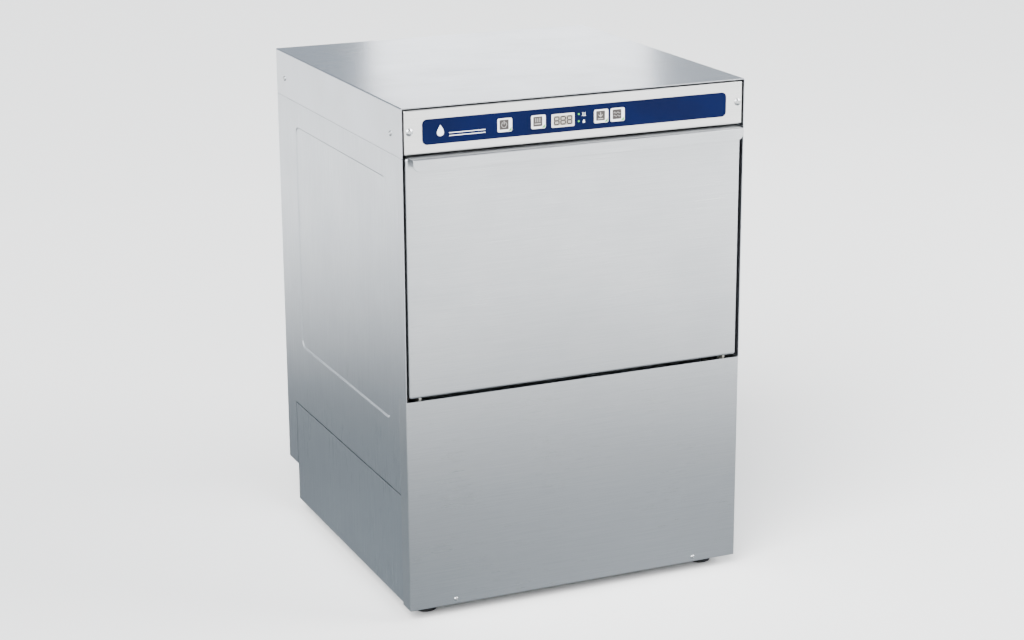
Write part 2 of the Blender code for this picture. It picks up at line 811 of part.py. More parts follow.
def make_hinge_bracket(side, sign, f):
    """The fixed plate that carries the hinge pin. Its foot runs down behind the front panel.

    Its underside is cut back, so that the open door's lower edge swings clear of it.
    """
    start, end = span(sign, *BRACKET_X)
    name = f"{side}_hinge_bracket"
    foot = CHAMBER_FRONT + 0.006
    back = CHAMBER_FRONT + 0.024
    outline = [
        (PIVOT_Y - 0.006, PIVOT_Z - 0.0065),
        (PIVOT_Y + 0.0155, PIVOT_Z - 0.0075),
        (foot, PIVOT_Z - 0.050),
        (foot, 0.290),
        (back, 0.290),
        (back, PIVOT_Z + 0.0075),
        (PIVOT_Y - 0.006, PIVOT_Z + 0.0075),
        (PIVOT_Y - 0.0095, PIVOT_Z),
    ]
    plate = prism(name, outline, "X", start, end, f["zinc"])
    start, end = start - 0.01, end + 0.01
    cut(plate, hole_tool(name + "_hole", (PIVOT_Y, PIVOT_Z), PIN_RADIUS + GAP, start, end, f))


def make_hinge_pin(side, sign, f):
    """A shouldered pin along X, with a head outside the bracket."""
    inner = LEVER_X[0] - 0.002
    length = BRACKET_X[1] + GAP - inner
    end = length + 0.003
    profile = disc_profile(0, length, PIN_RADIUS)[:-1]
    profile += [(length, 0.0075), (end, 0.0075), (end, 0)]
    if sign < 0:
        profile = [(-along, radius) for along, radius in profile]
    turned(f"{side}_hinge_pin", profile, (sign * inner, PIVOT_Y, PIVOT_Z), "X", f["zinc"], segments=16)


def make_door_spring(side, sign, f):
    """The outer shape of the extension spring that balances the door, hooked to the base below."""
    x = sign * (LEVER_X[0] + LEVER_X[1]) / 2
    top = Vector((x, PIVOT_Y + 0.0020, PIVOT_Z - LEVER - 0.0090))
    bottom = Vector((x, PIVOT_Y + 0.072, 0.036))
    along = (bottom - top).normalized()
    length = (bottom - top).length
    radius, wire = 0.008, 0.0018
    profile = [
        (0, 0),
        (0, wire),
        (0.016, wire),
        (0.022, radius),
        (length - 0.062, radius),
        (length - 0.056, wire),
        (length, wire),
        (length, 0),
    ]
    bm = turned_bmesh(profile, (0, 0, 0), "Z", 12)
    turn = Vector((0, 0, 1)).rotation_difference(along).to_matrix().to_4x4()
    bmesh.ops.transform(bm, matrix=Matrix.Translation(top) @ turn, verts=bm.verts[:])
    from_bmesh(f"{side}_door_spring", bm, f["zinc"], smooth=True)


def make_door(f):
    """The door's pieces, carried by an empty on the hinge's axis."""
    pieces = [make_door_outer_panel(f), make_door_inner_panel(f), make_door_handle(f)]
    for side, sign in sides():
        pieces.append(make_hinge_arm(side, sign, f))
        make_hinge_bracket(side, sign, f)
        make_hinge_pin(side, sign, f)
        make_door_spring(side, sign, f)
    tools = []
    for piece in pieces:
        tools += [each.object for each in piece.modifiers if each.type == "BOOLEAN"]
    parent_at("door_hinge", (0, PIVOT_Y, PIVOT_Z), pieces + tools)


# Wash chamber.


def make_wash_chamber(f):
    """The chamber: three walls and a roof, with a hole for the upper arms' feed."""
    low = (-CHAMBER_HALF - SHEET, CHAMBER_FRONT + SHEET + 0.0004, CHAMBER_BOTTOM)
    high = (CHAMBER_HALF + SHEET, CHAMBER_BACK, CHAMBER_ROOF)
    chamber = folded_shell("wash_chamber", low, high, ("-Y", "-Z"), f["inner"], fold=0.006)
    outline = circle_outline((0, ARM_Y), OUTLET_RADIUS + 0.0010, 16)
    start, end = CHAMBER_ROOF - 0.01, CHAMBER_ROOF + 0.01
    cut(chamber, prism("chamber_feed_hole", outline, "Z", start, end, f["inner"]))


def make_wash_tank(f):
    """The tank under the chamber: straight walls, a funnel and a square sump."""
    middle = (CHAMBER_BACK + CHAMBER_FRONT) / 2
    half_y = TANK_BACK - middle
    levels = (
        (CHAMBER_HALF, half_y, CHAMBER_BOTTOM - GAP, middle),
        (CHAMBER_HALF, half_y, 0.332, middle),
        (SUMP_HALF, SUMP_HALF, SUMP_TOP, ARM_Y),
        (SUMP_HALF - 0.004, SUMP_HALF - 0.004, SUMP_BOTTOM, ARM_Y),
    )
    bm = bmesh.new()
    rings = []
    for half_x, half_depth, z, y in levels:
        corners = ((-1, -1), (1, -1), (1, 1), (-1, 1))
        rings.append([bm.verts.new((i * half_x, y + j * half_depth, z)) for i, j in corners])
    for upper, lower in zip(rings, rings[1:]):
        for step in range(4):
            after = (step + 1) % 4
            bm.faces.new((upper[step], lower[step], lower[after], upper[after]))
    bm.faces.new(rings[-1][::-1])
    mesh = bpy.data.meshes.new("wash_tank")
    bm.to_mesh(mesh)
    bm.free()
    tank = add_object("wash_tank", mesh, f["inner"])
    thicken(tank, SHEET)
    holes = (
        ("feed", (0, ARM_Y), OUTLET_RADIUS + 0.0005),
        ("suction", (SUCTION_X, ARM_Y), INLET_RADIUS + 0.0005),
        ("drain", (DRAIN_X, DRAIN_Y), 0.0175),
    )
    start, end = SUMP_BOTTOM - 0.01, SUMP_BOTTOM + 0.01
    for name, centre, radius in holes:
        outline = circle_outline(centre, radius, 16)
        cut(tank, prism(f"tank_{name}_hole", outline, "Z", start, end, f["inner"]))
    outline = circle_outline((HEATER_X, HEATER_Z), 0.0115, 16)
    start, end = TANK_BACK - 0.01, TANK_BACK + 0.01
    cut(tank, prism("tank_heater_hole", outline, "Y", start, end, f["inner"]))


def make_rack_rail(side, sign, f):
    """An angle on the chamber's wall, on which the rack slides."""
    wall = CHAMBER_HALF - GAP
    edge = 0.236
    section = (
        (wall, RAIL_TOP + 0.028),
        (wall - THICK_SHEET, RAIL_TOP + 0.028),
        (wall - THICK_SHEET, RAIL_TOP),
        (edge, RAIL_TOP),
        (edge, RAIL_TOP - 0.006),
        (edge + THICK_SHEET, RAIL_TOP - 0.006),
        (edge + THICK_SHEET, RAIL_TOP - THICK_SHEET),
        (wall, RAIL_TOP - THICK_SHEET),
    )
    outline = [(sign * x, z) for x, z in section]
    prism(f"{side}_rack_rail", outline, "Y", CHAMBER_FRONT + 0.012, CHAMBER_BACK - 0.014, f["inner"])


def make_tank_filter(side, sign, f):
    """Half of the flat filter over the tank, with a turned rim and a half hole for the arm's feed."""
    start, end = span(sign, 0.0015, CHAMBER_HALF - 0.004)
    low = (start, CHAMBER_FRONT + 0.012, 0.3545)
    high = (end, CHAMBER_BACK - 0.014, CHAMBER_BOTTOM - 0.002)
    name = f"{side}_tank_filter"
    tray = folded_shell(name, low, high, ("+Z",), f["inner"], thickness=0.0010, fold=0)
    outline = circle_outline((0, ARM_Y), 0.026, 24)
    cut(tray, prism(f"{side}_filter_feed_cut", outline, "Z", 0.34, 0.38, f["inner"]))
    if sign > 0:
        outline = circle_outline((DRAIN_X, DRAIN_Y), 0.020, 20)
        cut(tray, prism("filter_overflow_cut", outline, "Z", 0.34, 0.38, f["inner"]))


def make_overflow_pipe(f):
    """The standing pipe in the drain hole, which is lifted out to empty the tank."""
    base = SUMP_BOTTOM - 0.006
    profile = [
        (0, 0.0110),
        (0, 0.0135),
        (0.010, 0.0168),
        (0.014, 0.0168),
        (0.018, 0.0145),
        (0.108, 0.0145),
        (0.112, 0.0175),
        (0.120, 0.0175),
        (0.120, 0.0110),
    ]
    turned("overflow_pipe", profile, (DRAIN_X, DRAIN_Y, base), "Z", f["grey"])


def make_arm_hubs(f):
    """The fixed feeds: one stands on the sump's floor, the other hangs from the roof."""
    stem, bore, flange = 0.0155, 0.0115, 0.026
    spindle, spindle_bore = 0.0085, 0.0055
    floor = SUMP_BOTTOM + SHEET + GAP
    lower = [
        (SUMP_BOTTOM - 0.0050, bore),
        (SUMP_BOTTOM - 0.0050, OUTLET_RADIUS - 0.0010),
        (floor, OUTLET_RADIUS - 0.0010),
        (floor, flange),
        (SUMP_BOTTOM + 0.006, flange),
        (SUMP_BOTTOM + 0.006, stem),
        (LOWER_SHOULDER, stem),
        (LOWER_SHOULDER, spindle),
        (LOWER_SHOULDER + SPINDLE_LENGTH, spindle),
        (LOWER_SHOULDER + SPINDLE_LENGTH, spindle_bore),
        (LOWER_SHOULDER - 0.0055, spindle_bore),
        (LOWER_SHOULDER - 0.0095, bore),
    ]
    turned("lower_arm_hub", lower, (0, ARM_Y, 0), "Z", f["inner"])
    roof = CHAMBER_ROOF - SHEET
    upper = [
        (CHAMBER_ROOF + 0.012, bore),
        (CHAMBER_ROOF + 0.012, OUTLET_RADIUS - 0.0005),
        (roof - GAP, OUTLET_RADIUS - 0.0005),
        (roof - GAP, flange),
        (roof - 0.005, flange),
        (roof - 0.008, stem),
        (UPPER_SHOULDER, stem),
        (UPPER_SHOULDER, spindle),
        (UPPER_SHOULDER - SPINDLE_LENGTH, spindle),
        (UPPER_SHOULDER - SPINDLE_LENGTH, spindle_bore),
        (UPPER_SHOULDER + 0.0055, spindle_bore),
        (UPPER_SHOULDER + 0.0075, bore),
    ]
    turned("upper_arm_hub", upper, (0, ARM_Y, 0), "Z", f["inner"])


def make_spray_arm(name, size, levels, heading, f):
    """A two-ended spray arm: tapered flat tubes on both sides of a round boss, free on its hub."""
    reach, half_width = size
    bottom, top = levels
    middle = (bottom + top) / 2
    boss = [
        (bottom - middle - 0.0010, 0.0095),
        (bottom - middle - 0.0010, 0.021),
        (top - middle + 0.0010, 0.021),
        (top - middle + 0.0010, 0.0095),
    ]
    arm = turned(name, boss, (0, 0, 0), "Z", f["inner"], segments=16)
    tip = half_width * 0.72
    half_height = (top - bottom) / 2
    blade = [
        (-half_height, -0.45 * half_height),
        (-0.35 * half_height, -half_height),
        (0.35 * half_height, -half_height),
        (half_height, -0.45 * half_height),
        (half_height, 0.45 * half_height),
        (0.35 * half_height, half_height),
        (-0.35 * half_height, half_height),
        (-half_height, 0.45 * half_height),
    ]
    bm = bmesh.new()
    rings = []
    for x, scale in ((-reach, tip), (-0.018, half_width), (0.018, half_width), (reach, tip)):
        rings.append([
            bm.verts.new((x, across / half_height * scale, up)) for across, up in blade
        ])
    for ring, following in zip(rings, rings[1:]):
        for step in range(len(ring)):
            after = (step + 1) % len(ring)
            bm.faces.new((ring[step], ring[after], following[after], following[step]))
    bm.faces.new(rings[0][::-1])
    bm.faces.new(rings[-1])
    tubes = from_bmesh(name + "_tubes", bm, f["inner"])
    bore = turned(name + "_bore", disc_profile(-0.03, 0.03, 0.0095), (0, 0, 0), "Z", f["inner"])
    join(arm, tubes)
    cut(arm, bore)
    for piece in (arm, tubes, bore):
        piece.location = (0, ARM_Y, middle)
        piece.rotation_euler = (0, 0, heading)


def make_spray_arms(f):
    """A wash arm and a rinse arm below the rack, and the same pair above it."""
    make_spray_arm("lower_wash_arm", WASH_ARM, (0.3860, 0.3990), math.radians(24), f)
    make_spray_arm("lower_rinse_arm", RINSE_ARM, (0.4050, 0.4130), math.radians(-38), f)
    make_spray_arm("upper_wash_arm", WASH_ARM, (0.7420, 0.7550), math.radians(-31), f)
    make_spray_arm("upper_rinse_arm", RINSE_ARM, (0.7280, 0.7360), math.radians(29), f)


# Pump, hoses, boiler and heaters.


def make_pump_casing(f):
    """The volute: a cup that opens to the motor, with an inlet on its axis and two outlets."""
    wall = 0.004
    depth = CASING_BACK - CASING_FRONT
    profile = [
        (-INLET_LENGTH, INLET_RADIUS - 0.003),
        (-INLET_LENGTH, INLET_RADIUS),
        (0, INLET_RADIUS),
        (0.002, CASING_RADIUS),
        (depth - 0.006, CASING_RADIUS),
        (depth - 0.006, CASING_RADIUS + 0.007),
        (depth, CASING_RADIUS + 0.007),
        (depth, CASING_RADIUS - wall),
        (wall + 0.002, CASING_RADIUS - wall),
        (wall, INLET_RADIUS - 0.003),
    ]
    origin = (CASING_FRONT, PUMP_Y, PUMP_Z)
    casing = turned("pump_casing", profile, origin, "X", f["black"], segments=20)
    radius = OUTLET_RADIUS
    outlets = (
        ("upper", "Z", PUMP_Z, (0, PUMP_Y), SUMP_BOTTOM - SHEET - 0.0100 - PUMP_Z),
        ("rear", "Y", PUMP_Y, (0, PUMP_Z), REAR_OUTLET),
    )
    for name, axis, middle, centre, reach in outlets:
        start, end = middle + CASING_RADIUS - 0.006, middle + reach
        outline = circle_outline(centre, radius, 12)
        join(casing, prism(f"casing_{name}_outlet", outline, axis, start, end, f["black"]))
        outline = circle_outline(centre, radius - 0.003, 12)
        bore = prism(f"casing_{name}_bore", outline, axis, start - 0.004, end + 0.01, f["black"])
        cut(casing, bore)


def make_pump_impeller(f):
    """A disc with a hub, a shaft and six straight vanes, on the motor's axis."""
    base = CASING_BACK - 0.012
    profile = [
        (-0.020, 0),
        (-0.020, 0.006),
        (-0.006, 0.011),
        (0, 0.046),
        (0.004, 0.046),
        (0.004, 0.0065),
        (0.0300, 0.0065),
        (0.0300, 0),
    ]
    origin = (base, PUMP_Y, PUMP_Z)
    impeller = turned("pump_impeller", profile, (0, 0, 0), "X", f["black"], segments=16)
    vanes = 3
    tools = []
    low, high = (-0.014, -0.044, -0.0012), (0.002, 0.044, 0.0012)
    for number in range(vanes):
        vane = box(f"impeller_vane_{number}", low, high, f["black"])
        vane.rotation_euler = (math.pi * number / vanes, 0, 0)
        join(impeller, vane)
        tools.append(vane)
    for piece in [impeller] + tools:
        piece.location = origin


def make_pump_motor(f):
    """The motor: a flange on the casing, a round body, a fan cowl and a terminal box."""
    start = CASING_BACK + GAP
    profile = [
        (0, 0.0072),
        (0, CASING_RADIUS + 0.007),
        (0.007, CASING_RADIUS + 0.007),
        (0.010, MOTOR_RADIUS),
        (MOTOR_LENGTH - 0.035, MOTOR_RADIUS),
        (MOTOR_LENGTH - 0.034, MOTOR_RADIUS + 0.003),
        (MOTOR_LENGTH - 0.006, MOTOR_RADIUS + 0.003),
        (MOTOR_LENGTH, MOTOR_RADIUS - 0.006),
        (MOTOR_LENGTH, 0),
        (0.022, 0),
        (0.022, 0.0072),
    ]
    motor = turned("pump_motor", profile, (start, PUMP_Y, PUMP_Z), "X", f["paint"], segments=20)
    low = (start + 0.040, PUMP_Y - 0.032, PUMP_Z + MOTOR_RADIUS - 0.010)
    high = (start + 0.118, PUMP_Y + 0.032, PUMP_Z + MOTOR_RADIUS + 0.030)
    join(motor, box("motor_terminal_box", low, high, f["paint"], edge=0.003))
    low = (start + 0.030, PUMP_Y - 0.050, SIDE_BOTTOM + 0.0040)
    high = (start + 0.120, PUMP_Y + 0.050, PUMP_Z - MOTOR_RADIUS + 0.012)
    join(motor, box("motor_foot", low, high, f["paint"], edge=0.002))


def make_hoses(f):
    """The suction hose from the sump, and the riser to the upper arms."""
    corners = [
        (SUCTION_X, ARM_Y, SUMP_BOTTOM + 0.0050),
        (SUCTION_X, ARM_Y, PUMP_Z),
        (CASING_FRONT - INLET_LENGTH - GAP, PUMP_Y, PUMP_Z),
    ]
    rod("suction_hose", rounded_path(corners, 0.038), INLET_RADIUS, f["rubber"], 3)
    corners = [
        (0, PUMP_Y + REAR_OUTLET + GAP, PUMP_Z),
        (0, RISER_Y, PUMP_Z),
        (0, RISER_Y, RISER_Z),
        (0, ARM_Y, RISER_Z),
        (0, ARM_Y, CHAMBER_ROOF + 0.012 + GAP),
    ]
    rod("riser_hose", rounded_path(corners, 0.022, 4), RISER_RADIUS, f["rubber"])


def make_drain_hose(f):
    """From the sump's drain down to the tail pipe in the connection plate."""
    level = 0.218
    corners = [
        (DRAIN_X, DRAIN_Y, SUMP_BOTTOM - SHEET - 0.006),
        (DRAIN_X, DRAIN_Y, level),
        (DRAIN_X, SERVICE_MIDDLE, level),
        (DRAIN_X, SERVICE_MIDDLE, REAR_BOTTOM - 0.022),
    ]
    rod("drain_hose", rounded_path(corners, 0.024), 0.0155, f["grey"], 3)


def make_boiler(f):
    """The rinse boiler: a can with round shoulders and an opening on top for the heater."""
    wall = THICK_SHEET
    height = BOILER_TOP - BOILER_BOTTOM
    profile = [
        (0, 0),
        (0, BOILER_RADIUS - 0.010),
        (0.010, BOILER_RADIUS),
        (height - 0.014, BOILER_RADIUS),
        (height - 0.004, BOILER_RADIUS - 0.010),
        (height, 0.046),
        (height, 0.034),
        (height - wall, 0.034),
        (height - 0.004 - wall, BOILER_RADIUS - 0.010),
        (height - 0.014, BOILER_RADIUS - wall),
        (0.010, BOILER_RADIUS - wall),
        (wall, BOILER_RADIUS - 0.010),
        (wall, 0),
    ]
    turned("boiler", profile, (BOILER_X, BOILER_Y, BOILER_BOTTOM), "Z", f["inner"], segments=20)


def make_boiler_element(f):
    """A flange over the boiler's opening, with a loop that hangs in the water."""
    cap = [
        (0, 0),
        (0, 0.043),
        (0.005, 0.043),
        (0.007, 0.024),
        (0.018, 0.024),
        (0.018, 0),
    ]
    top = (BOILER_X, BOILER_Y, BOILER_TOP + GAP)
    element = turned("boiler_element", cap, top, "Z", f["zinc"])
    reach = 0.024
    end, bend = BOILER_TOP + 0.002, BOILER_BOTTOM + 0.030
    corners = [
        (BOILER_X - reach, BOILER_Y, end),
        (BOILER_X - reach, BOILER_Y, bend),
        (BOILER_X + reach, BOILER_Y, bend),
        (BOILER_X + reach, BOILER_Y, end),
    ]
    path = rounded_path(corners, 0.016, 4)
    join(element, rod_mesh("boiler_element_loop", path, HEATER_ROD, f["element"]))


def make_tank_heater(f):
    """A bent heating rod over the funnel, which leaves through the tank's rear wall."""
    near, far = 0.175, 0.215
    corners = [
        (HEATER_X, TANK_BACK + 0.010, HEATER_Z),
        (HEATER_X, near, HEATER_Z - 0.010),
        (-HEATER_X, near, HEATER_Z - 0.010),
        (-HEATER_X, far, HEATER_Z - 0.004),
        (HEATER_X - 0.040, far, HEATER_Z - 0.004),
    ]
    path = rounded_path(corners, 0.012, 3)
    heater = rod_mesh("tank_heater", path, HEATER_ROD, f["element"])
    profile = disc_profile(0, 0.006, 0.0160)
    origin = (HEATER_X, TANK_BACK + GAP, HEATER_Z)
    join(heater, turned("tank_heater_flange", profile, origin, "Y", f["element"], segments=20))


def make_inlet_valve(f):
    """The water inlet: a threaded tail below the connection plate and a solenoid body above it."""
    profile = [
        (-0.020, 0.0080),
        (-0.020, 0.0120),
        (0.0018, 0.0120),
        (0.0018, 0.0165),
        (0.0060, 0.0165),
        (0.0060, 0.0120),
        (0.0400, 0.0120),
        (0.0400, 0),
        (0.0060, 0),
        (0.0060, 0.0080),
    ]
    origin = (INLET_X, SERVICE_MIDDLE, REAR_BOTTOM)
    valve = turned("inlet_valve", profile, origin, "Z", f["brass"], segments=20)
    low = (INLET_X - 0.018, SERVICE_MIDDLE - 0.015, REAR_BOTTOM + 0.036)
    high = (INLET_X + 0.030, SERVICE_MIDDLE + 0.015, REAR_BOTTOM + 0.074)
    join(valve, box("inlet_valve_coil", low, high, f["brass"], edge=0.002))


def make_cable_gland(f):
    """The gland of the supply cable, in the connection plate."""
    profile = [
        (-0.024, 0.0060),
        (-0.024, 0.0095),
        (-0.016, 0.0135),
        (-GAP, 0.0150),
        (-GAP, 0.0100),
        (0.012, 0.0100),
        (0.012, 0.0060),
    ]
    origin = (CABLE_X, SERVICE_MIDDLE, REAR_BOTTOM)
    turned("cable_gland", profile, origin, "Z", f["black"], segments=18)


def clear_scene():
    """Removes whatever the scene holds at the start."""
    for obj in list(bpy.data.objects):
        bpy.data.objects.remove(obj)


def main():
    """Builds every piece of the machine."""
    clear_scene()
    f = make_finishes()
    make_top_cover(f)
    make_lower_front_panel(f)
    make_front_frame(f)
    make_rear_cover(f)
    make_connection_plate(f)
    make_base_tray(f)
    make_feet(f)
    make_control_fascia(f)
    make_control_membrane(f)
    make_display_module(f)
    make_control_board(f)
    for number, x in enumerate(KEY_X, start=1):
        make_key(number, x, f)
    make_door(f)
    make_door_gasket(f)
    make_wash_chamber(f)
    make_wash_tank(f)
    make_overflow_pipe(f)
    make_arm_hubs(f)
    make_spray_arms(f)
    for side, sign in sides():
        make_side_panel(side, sign, f)
        make_lower_side_panel(side, sign, f)
        make_support_frame(side, sign, f)
        make_rack_rail(side, sign, f)
        make_tank_filter(side, sign, f)
    make_pump_casing(f)
    make_pump_impeller(f)
    make_pump_motor(f)
    make_hoses(f)
    make_drain_hose(f)
    make_boiler(f)
    make_boiler_element(f)
    make_tank_heater(f)
    make_inlet_valve(f)
    make_cable_gland(f)


main()
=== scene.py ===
"""Looks of the front-loading undercounter dishwasher: finished meshes and finishes round its fixed frame.

Metres, +Z up, front at -Y. Places are worked out from the frame's own boxes, and sizes from the
named fields of the class that makes the piece.
"""

from __future__ import annotations

import logging
import math
from dataclasses import dataclass, field
from enum import Enum
from typing import Any, Iterable, Sequence

import bmesh
import bpy
from mathutils import Matrix, Quaternion, Vector


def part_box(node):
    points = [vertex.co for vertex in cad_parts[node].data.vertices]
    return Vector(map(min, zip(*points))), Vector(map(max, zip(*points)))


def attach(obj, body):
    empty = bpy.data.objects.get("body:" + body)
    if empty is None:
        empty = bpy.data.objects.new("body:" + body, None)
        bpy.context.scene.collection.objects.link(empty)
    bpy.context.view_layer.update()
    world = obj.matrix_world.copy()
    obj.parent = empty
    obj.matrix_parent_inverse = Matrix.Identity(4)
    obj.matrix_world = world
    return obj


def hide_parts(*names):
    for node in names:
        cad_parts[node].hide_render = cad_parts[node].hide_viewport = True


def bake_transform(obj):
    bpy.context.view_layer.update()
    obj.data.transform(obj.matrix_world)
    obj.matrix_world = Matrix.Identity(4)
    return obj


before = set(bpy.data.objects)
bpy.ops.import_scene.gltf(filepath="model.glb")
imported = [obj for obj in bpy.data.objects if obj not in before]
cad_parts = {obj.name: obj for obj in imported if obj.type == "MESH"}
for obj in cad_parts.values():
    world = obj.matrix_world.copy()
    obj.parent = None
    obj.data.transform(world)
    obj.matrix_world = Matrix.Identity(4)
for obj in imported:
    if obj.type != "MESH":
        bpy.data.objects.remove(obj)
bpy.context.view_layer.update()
log = logging.getLogger("dishwasher")

Point = Sequence[float]
Outline = list[tuple[float, float]]
Stroke = tuple[float, float, float, float, float]
CABINET = "cabinet"
DOOR = "door"
GAP = 0.0003
SIDES = (("left", -1), ("right", 1))


class Axis(Enum):
    """The three directions of the frame."""

    X = 0
    Y = 1
    Z = 2

    @property
    def vector(self) -> Vector:
        """The direction as a unit vector."""
        return Vector([float(self.value == index) for index in range(3)])


class Recess(Enum):
    """The drive that is pressed into a screw's head, as its number of corners."""

    HEXAGON = 6
    STAR = 12


# Shading.


def linear(hex_colour: str) -> tuple[float, float, float, float]:
    """Turns an sRGB hex colour into linear light.

    Args:
        hex_colour: six hex digits.

    Returns:
        Red, green, blue and an alpha of 1.
    """
    values = [int(hex_colour[index : index + 2], 16) / 255 for index in (0, 2, 4)]
    bent = [v / 12.92 if v <= 0.04045 else ((v + 0.055) / 1.055) ** 2.4 for v in values]
    return (bent[0], bent[1], bent[2], 1.0)


def put(tree: Any, kind: str, inputs: dict[Any, Any] | None = None, **settings: Any) -> Any:
    """Adds a node to a tree.

    Args:
        tree: the shader or geometry tree.
        kind: the node's type.
        inputs: sockets by name or number, each with a value or another node's output.
        settings: properties of the node.

    Returns:
        The new node.
    """
    node = tree.nodes.new(kind)
    for key, value in settings.items():
        setattr(node, key, value)
    for key, value in (inputs or {}).items():
        socket = node.inputs[key]
        if isinstance(value, bpy.types.NodeSocket):
            tree.links.new(value, socket)
        else:
            socket.default_value = value
    return node


def spread(tree: Any, value: Any, low: float, high: float, start: float = 0.3, end: float = 0.7) -> Any:
    """Maps a pattern's value to a range."""
    inputs = {"Value": value, "From Min": start, "From Max": end, "To Min": low, "To Max": high}
    return put(tree, "ShaderNodeMapRange", inputs).outputs["Result"]


def blend_tones(tree: Any, factor: Any, first: str, second: str) -> Any:
    """Mixes two colours by a pattern."""
    inputs = {0: factor, 6: linear(first), 7: linear(second)}
    return put(tree, "ShaderNodeMix", inputs, data_type="RGBA").outputs[2]


class Shading:
    """A material in the making, with the steps that the finishes share."""

    def __init__(self, name: str, colour: str, roughness: float, metallic: float = 0.0) -> None:
        """Starts a material with its even part on the shader's own sockets.

        Args:
            name: what the finish is.
            colour: six hex digits.
            roughness: from 0, polished, to 1, matt.
            metallic: 1 for bare metal and 0 for anything else.
        """
        self.material = bpy.data.materials.new(name)
        self.material.use_nodes = True
        self.tree = self.material.node_tree
        self.shader = self.tree.nodes["Principled BSDF"]
        self.place = put(self.tree, "ShaderNodeTexCoord").outputs["Object"]
        self.set("Base Color", linear(colour))
        self.set("Roughness", roughness)
        self.set("Metallic", metallic)

    def set(self, socket: str, value: Any) -> None:
        """Sets one of the shader's own sockets."""
        self.shader.inputs[socket].default_value = value

    def feed(self, socket: str, value: Any) -> None:
        """Links a pattern to one of the shader's sockets."""
        self.tree.links.new(value, self.shader.inputs[socket])

    def noise(self, per_metre: float, detail: float = 2.0, place: Any = None) -> Any:
        """The value of a noise pattern with the given number of features to a metre."""
        inputs = {"Vector": place or self.place, "Scale": per_metre, "Detail": detail, "Roughness": 0.55}
        return put(self.tree, "ShaderNodeTexNoise", inputs).outputs["Fac"]

    def tone(self, pattern: Any, first: str, second: str, start: float = 0.3, end: float = 0.7) -> None:
        """Varies the colour between two tones by a pattern."""
        factor = spread(self.tree, pattern, 0.0, 1.0, start, end)
        self.feed("Base Color", blend_tones(self.tree, factor, first, second))

    def rough(self, pattern: Any, low: float, high: float, start: float = 0.3, end: float = 0.7) -> None:
        """Varies the roughness between two values by a pattern."""
        self.feed("Roughness", spread(self.tree, pattern, low, high, start, end))

    def bump(self, height: Any, metres: float) -> None:
        """Raises the surface by a pattern."""
        inputs = {"Height": height, "Distance": metres, "Strength": 1.0}
        self.feed("Normal", put(self.tree, "ShaderNodeBump", inputs).outputs["Normal"])


@dataclass(frozen=True)
class BrushedSteel:
    """Stainless sheet, satin finished by an abrasive belt.

    The belt leaves fine straight scratches, which smear reflections across the grain and give
    the eye faint streaks. The real scratches are about 0.1 mm wide, too fine to show, so they
    are drawn line_mm wide.
    """

    name: str
    grain: Axis
    colour: str = "CFD1D3"
    shade: str = "C3C6C9"
    roughness: float = 0.30
    line_mm: float = 0.9
    length_mm: float = 90.0
    depth_mm: float = 0.010

    def make(self) -> Any:
        """The material."""
        work = Shading(self.name, self.colour, self.roughness, 1.0)
        stretch = [1000 / self.line_mm] * 3
        stretch[self.grain.value] = 1000 / self.length_mm
        inputs = {"Vector": work.place, "Scale": stretch}
        lines = put(work.tree, "ShaderNodeMapping", inputs).outputs["Vector"]
        grain = work.noise(1.0, 3.0, lines)
        handling = work.noise(9.0, 3.0)
        mixed = put(work.tree, "ShaderNodeMix", {0: 0.35, 2: grain, 3: handling}).outputs[0]
        work.tone(mixed, self.colour, self.shade, 0.38, 0.62)
        work.rough(mixed, self.roughness - 0.04, self.roughness + 0.05)
        work.bump(grain, self.depth_mm / 1000)
        return work.material


@dataclass(frozen=True)
class PressedSteel:
    """Cold-rolled stainless sheet as it leaves the mill, smooth and slightly cloudy.

    The rolled skin gives soft, even reflections. Water leaves a faint wide film.
    """

    name: str
    colour: str = "C9CCCE"
    film: str = "C3C7C9"
    roughness: float = 0.30
    cloud_mm: float = 140.0

    def make(self) -> Any:
        """The material."""
        work = Shading(self.name, self.colour, self.roughness, 1.0)
        cloud = work.noise(1000 / self.cloud_mm, 4.0)
        fine = work.noise(900.0, 2.0)
        work.tone(cloud, self.colour, self.film)
        work.rough(cloud, self.roughness - 0.012, self.roughness + 0.018, 0.2, 0.8)
        work.bump(fine, 0.000003)
        return work.material


@dataclass(frozen=True)
class ZincPlate:
    """Electroplated zinc on steel.

    The plating gives a grey metal with a faint crystal mottle and a yellowish-blue cast.
    """

    name: str
    colour: str = "A9ADAF"
    cast: str = "B4B2A6"
    roughness: float = 0.42
    crystal_mm: float = 4.0

    def make(self) -> Any:
        """The material."""
        work = Shading(self.name, self.colour, self.roughness, 0.9)
        inputs = {"Vector": work.place, "Scale": 1000 / self.crystal_mm}
        crystals = put(work.tree, "ShaderNodeTexVoronoi", inputs).outputs["Distance"]
        film = work.noise(22.0, 3.0)
        work.tone(film, self.colour, self.cast)
        work.rough(crystals, self.roughness - 0.05, self.roughness + 0.08, 0.0, 0.9)
        work.bump(film, 0.00002)
        return work.material


@dataclass(frozen=True)
class TurnedMetal:
    """Bar stock cut on a lathe, such as brass or plated steel.

    The tool leaves fine rings, which break a highlight into a narrow band.
    """

    name: str
    colour: str
    roughness: float = 0.24

    def make(self) -> Any:
        """The material."""
        work = Shading(self.name, self.colour, self.roughness, 1.0)
        rings = work.noise(1400.0, 1.0)
        stain = work.noise(60.0, 3.0)
        work.rough(stain, self.roughness - 0.06, self.roughness + 0.12)
        work.bump(rings, 0.000012)
        return work.material


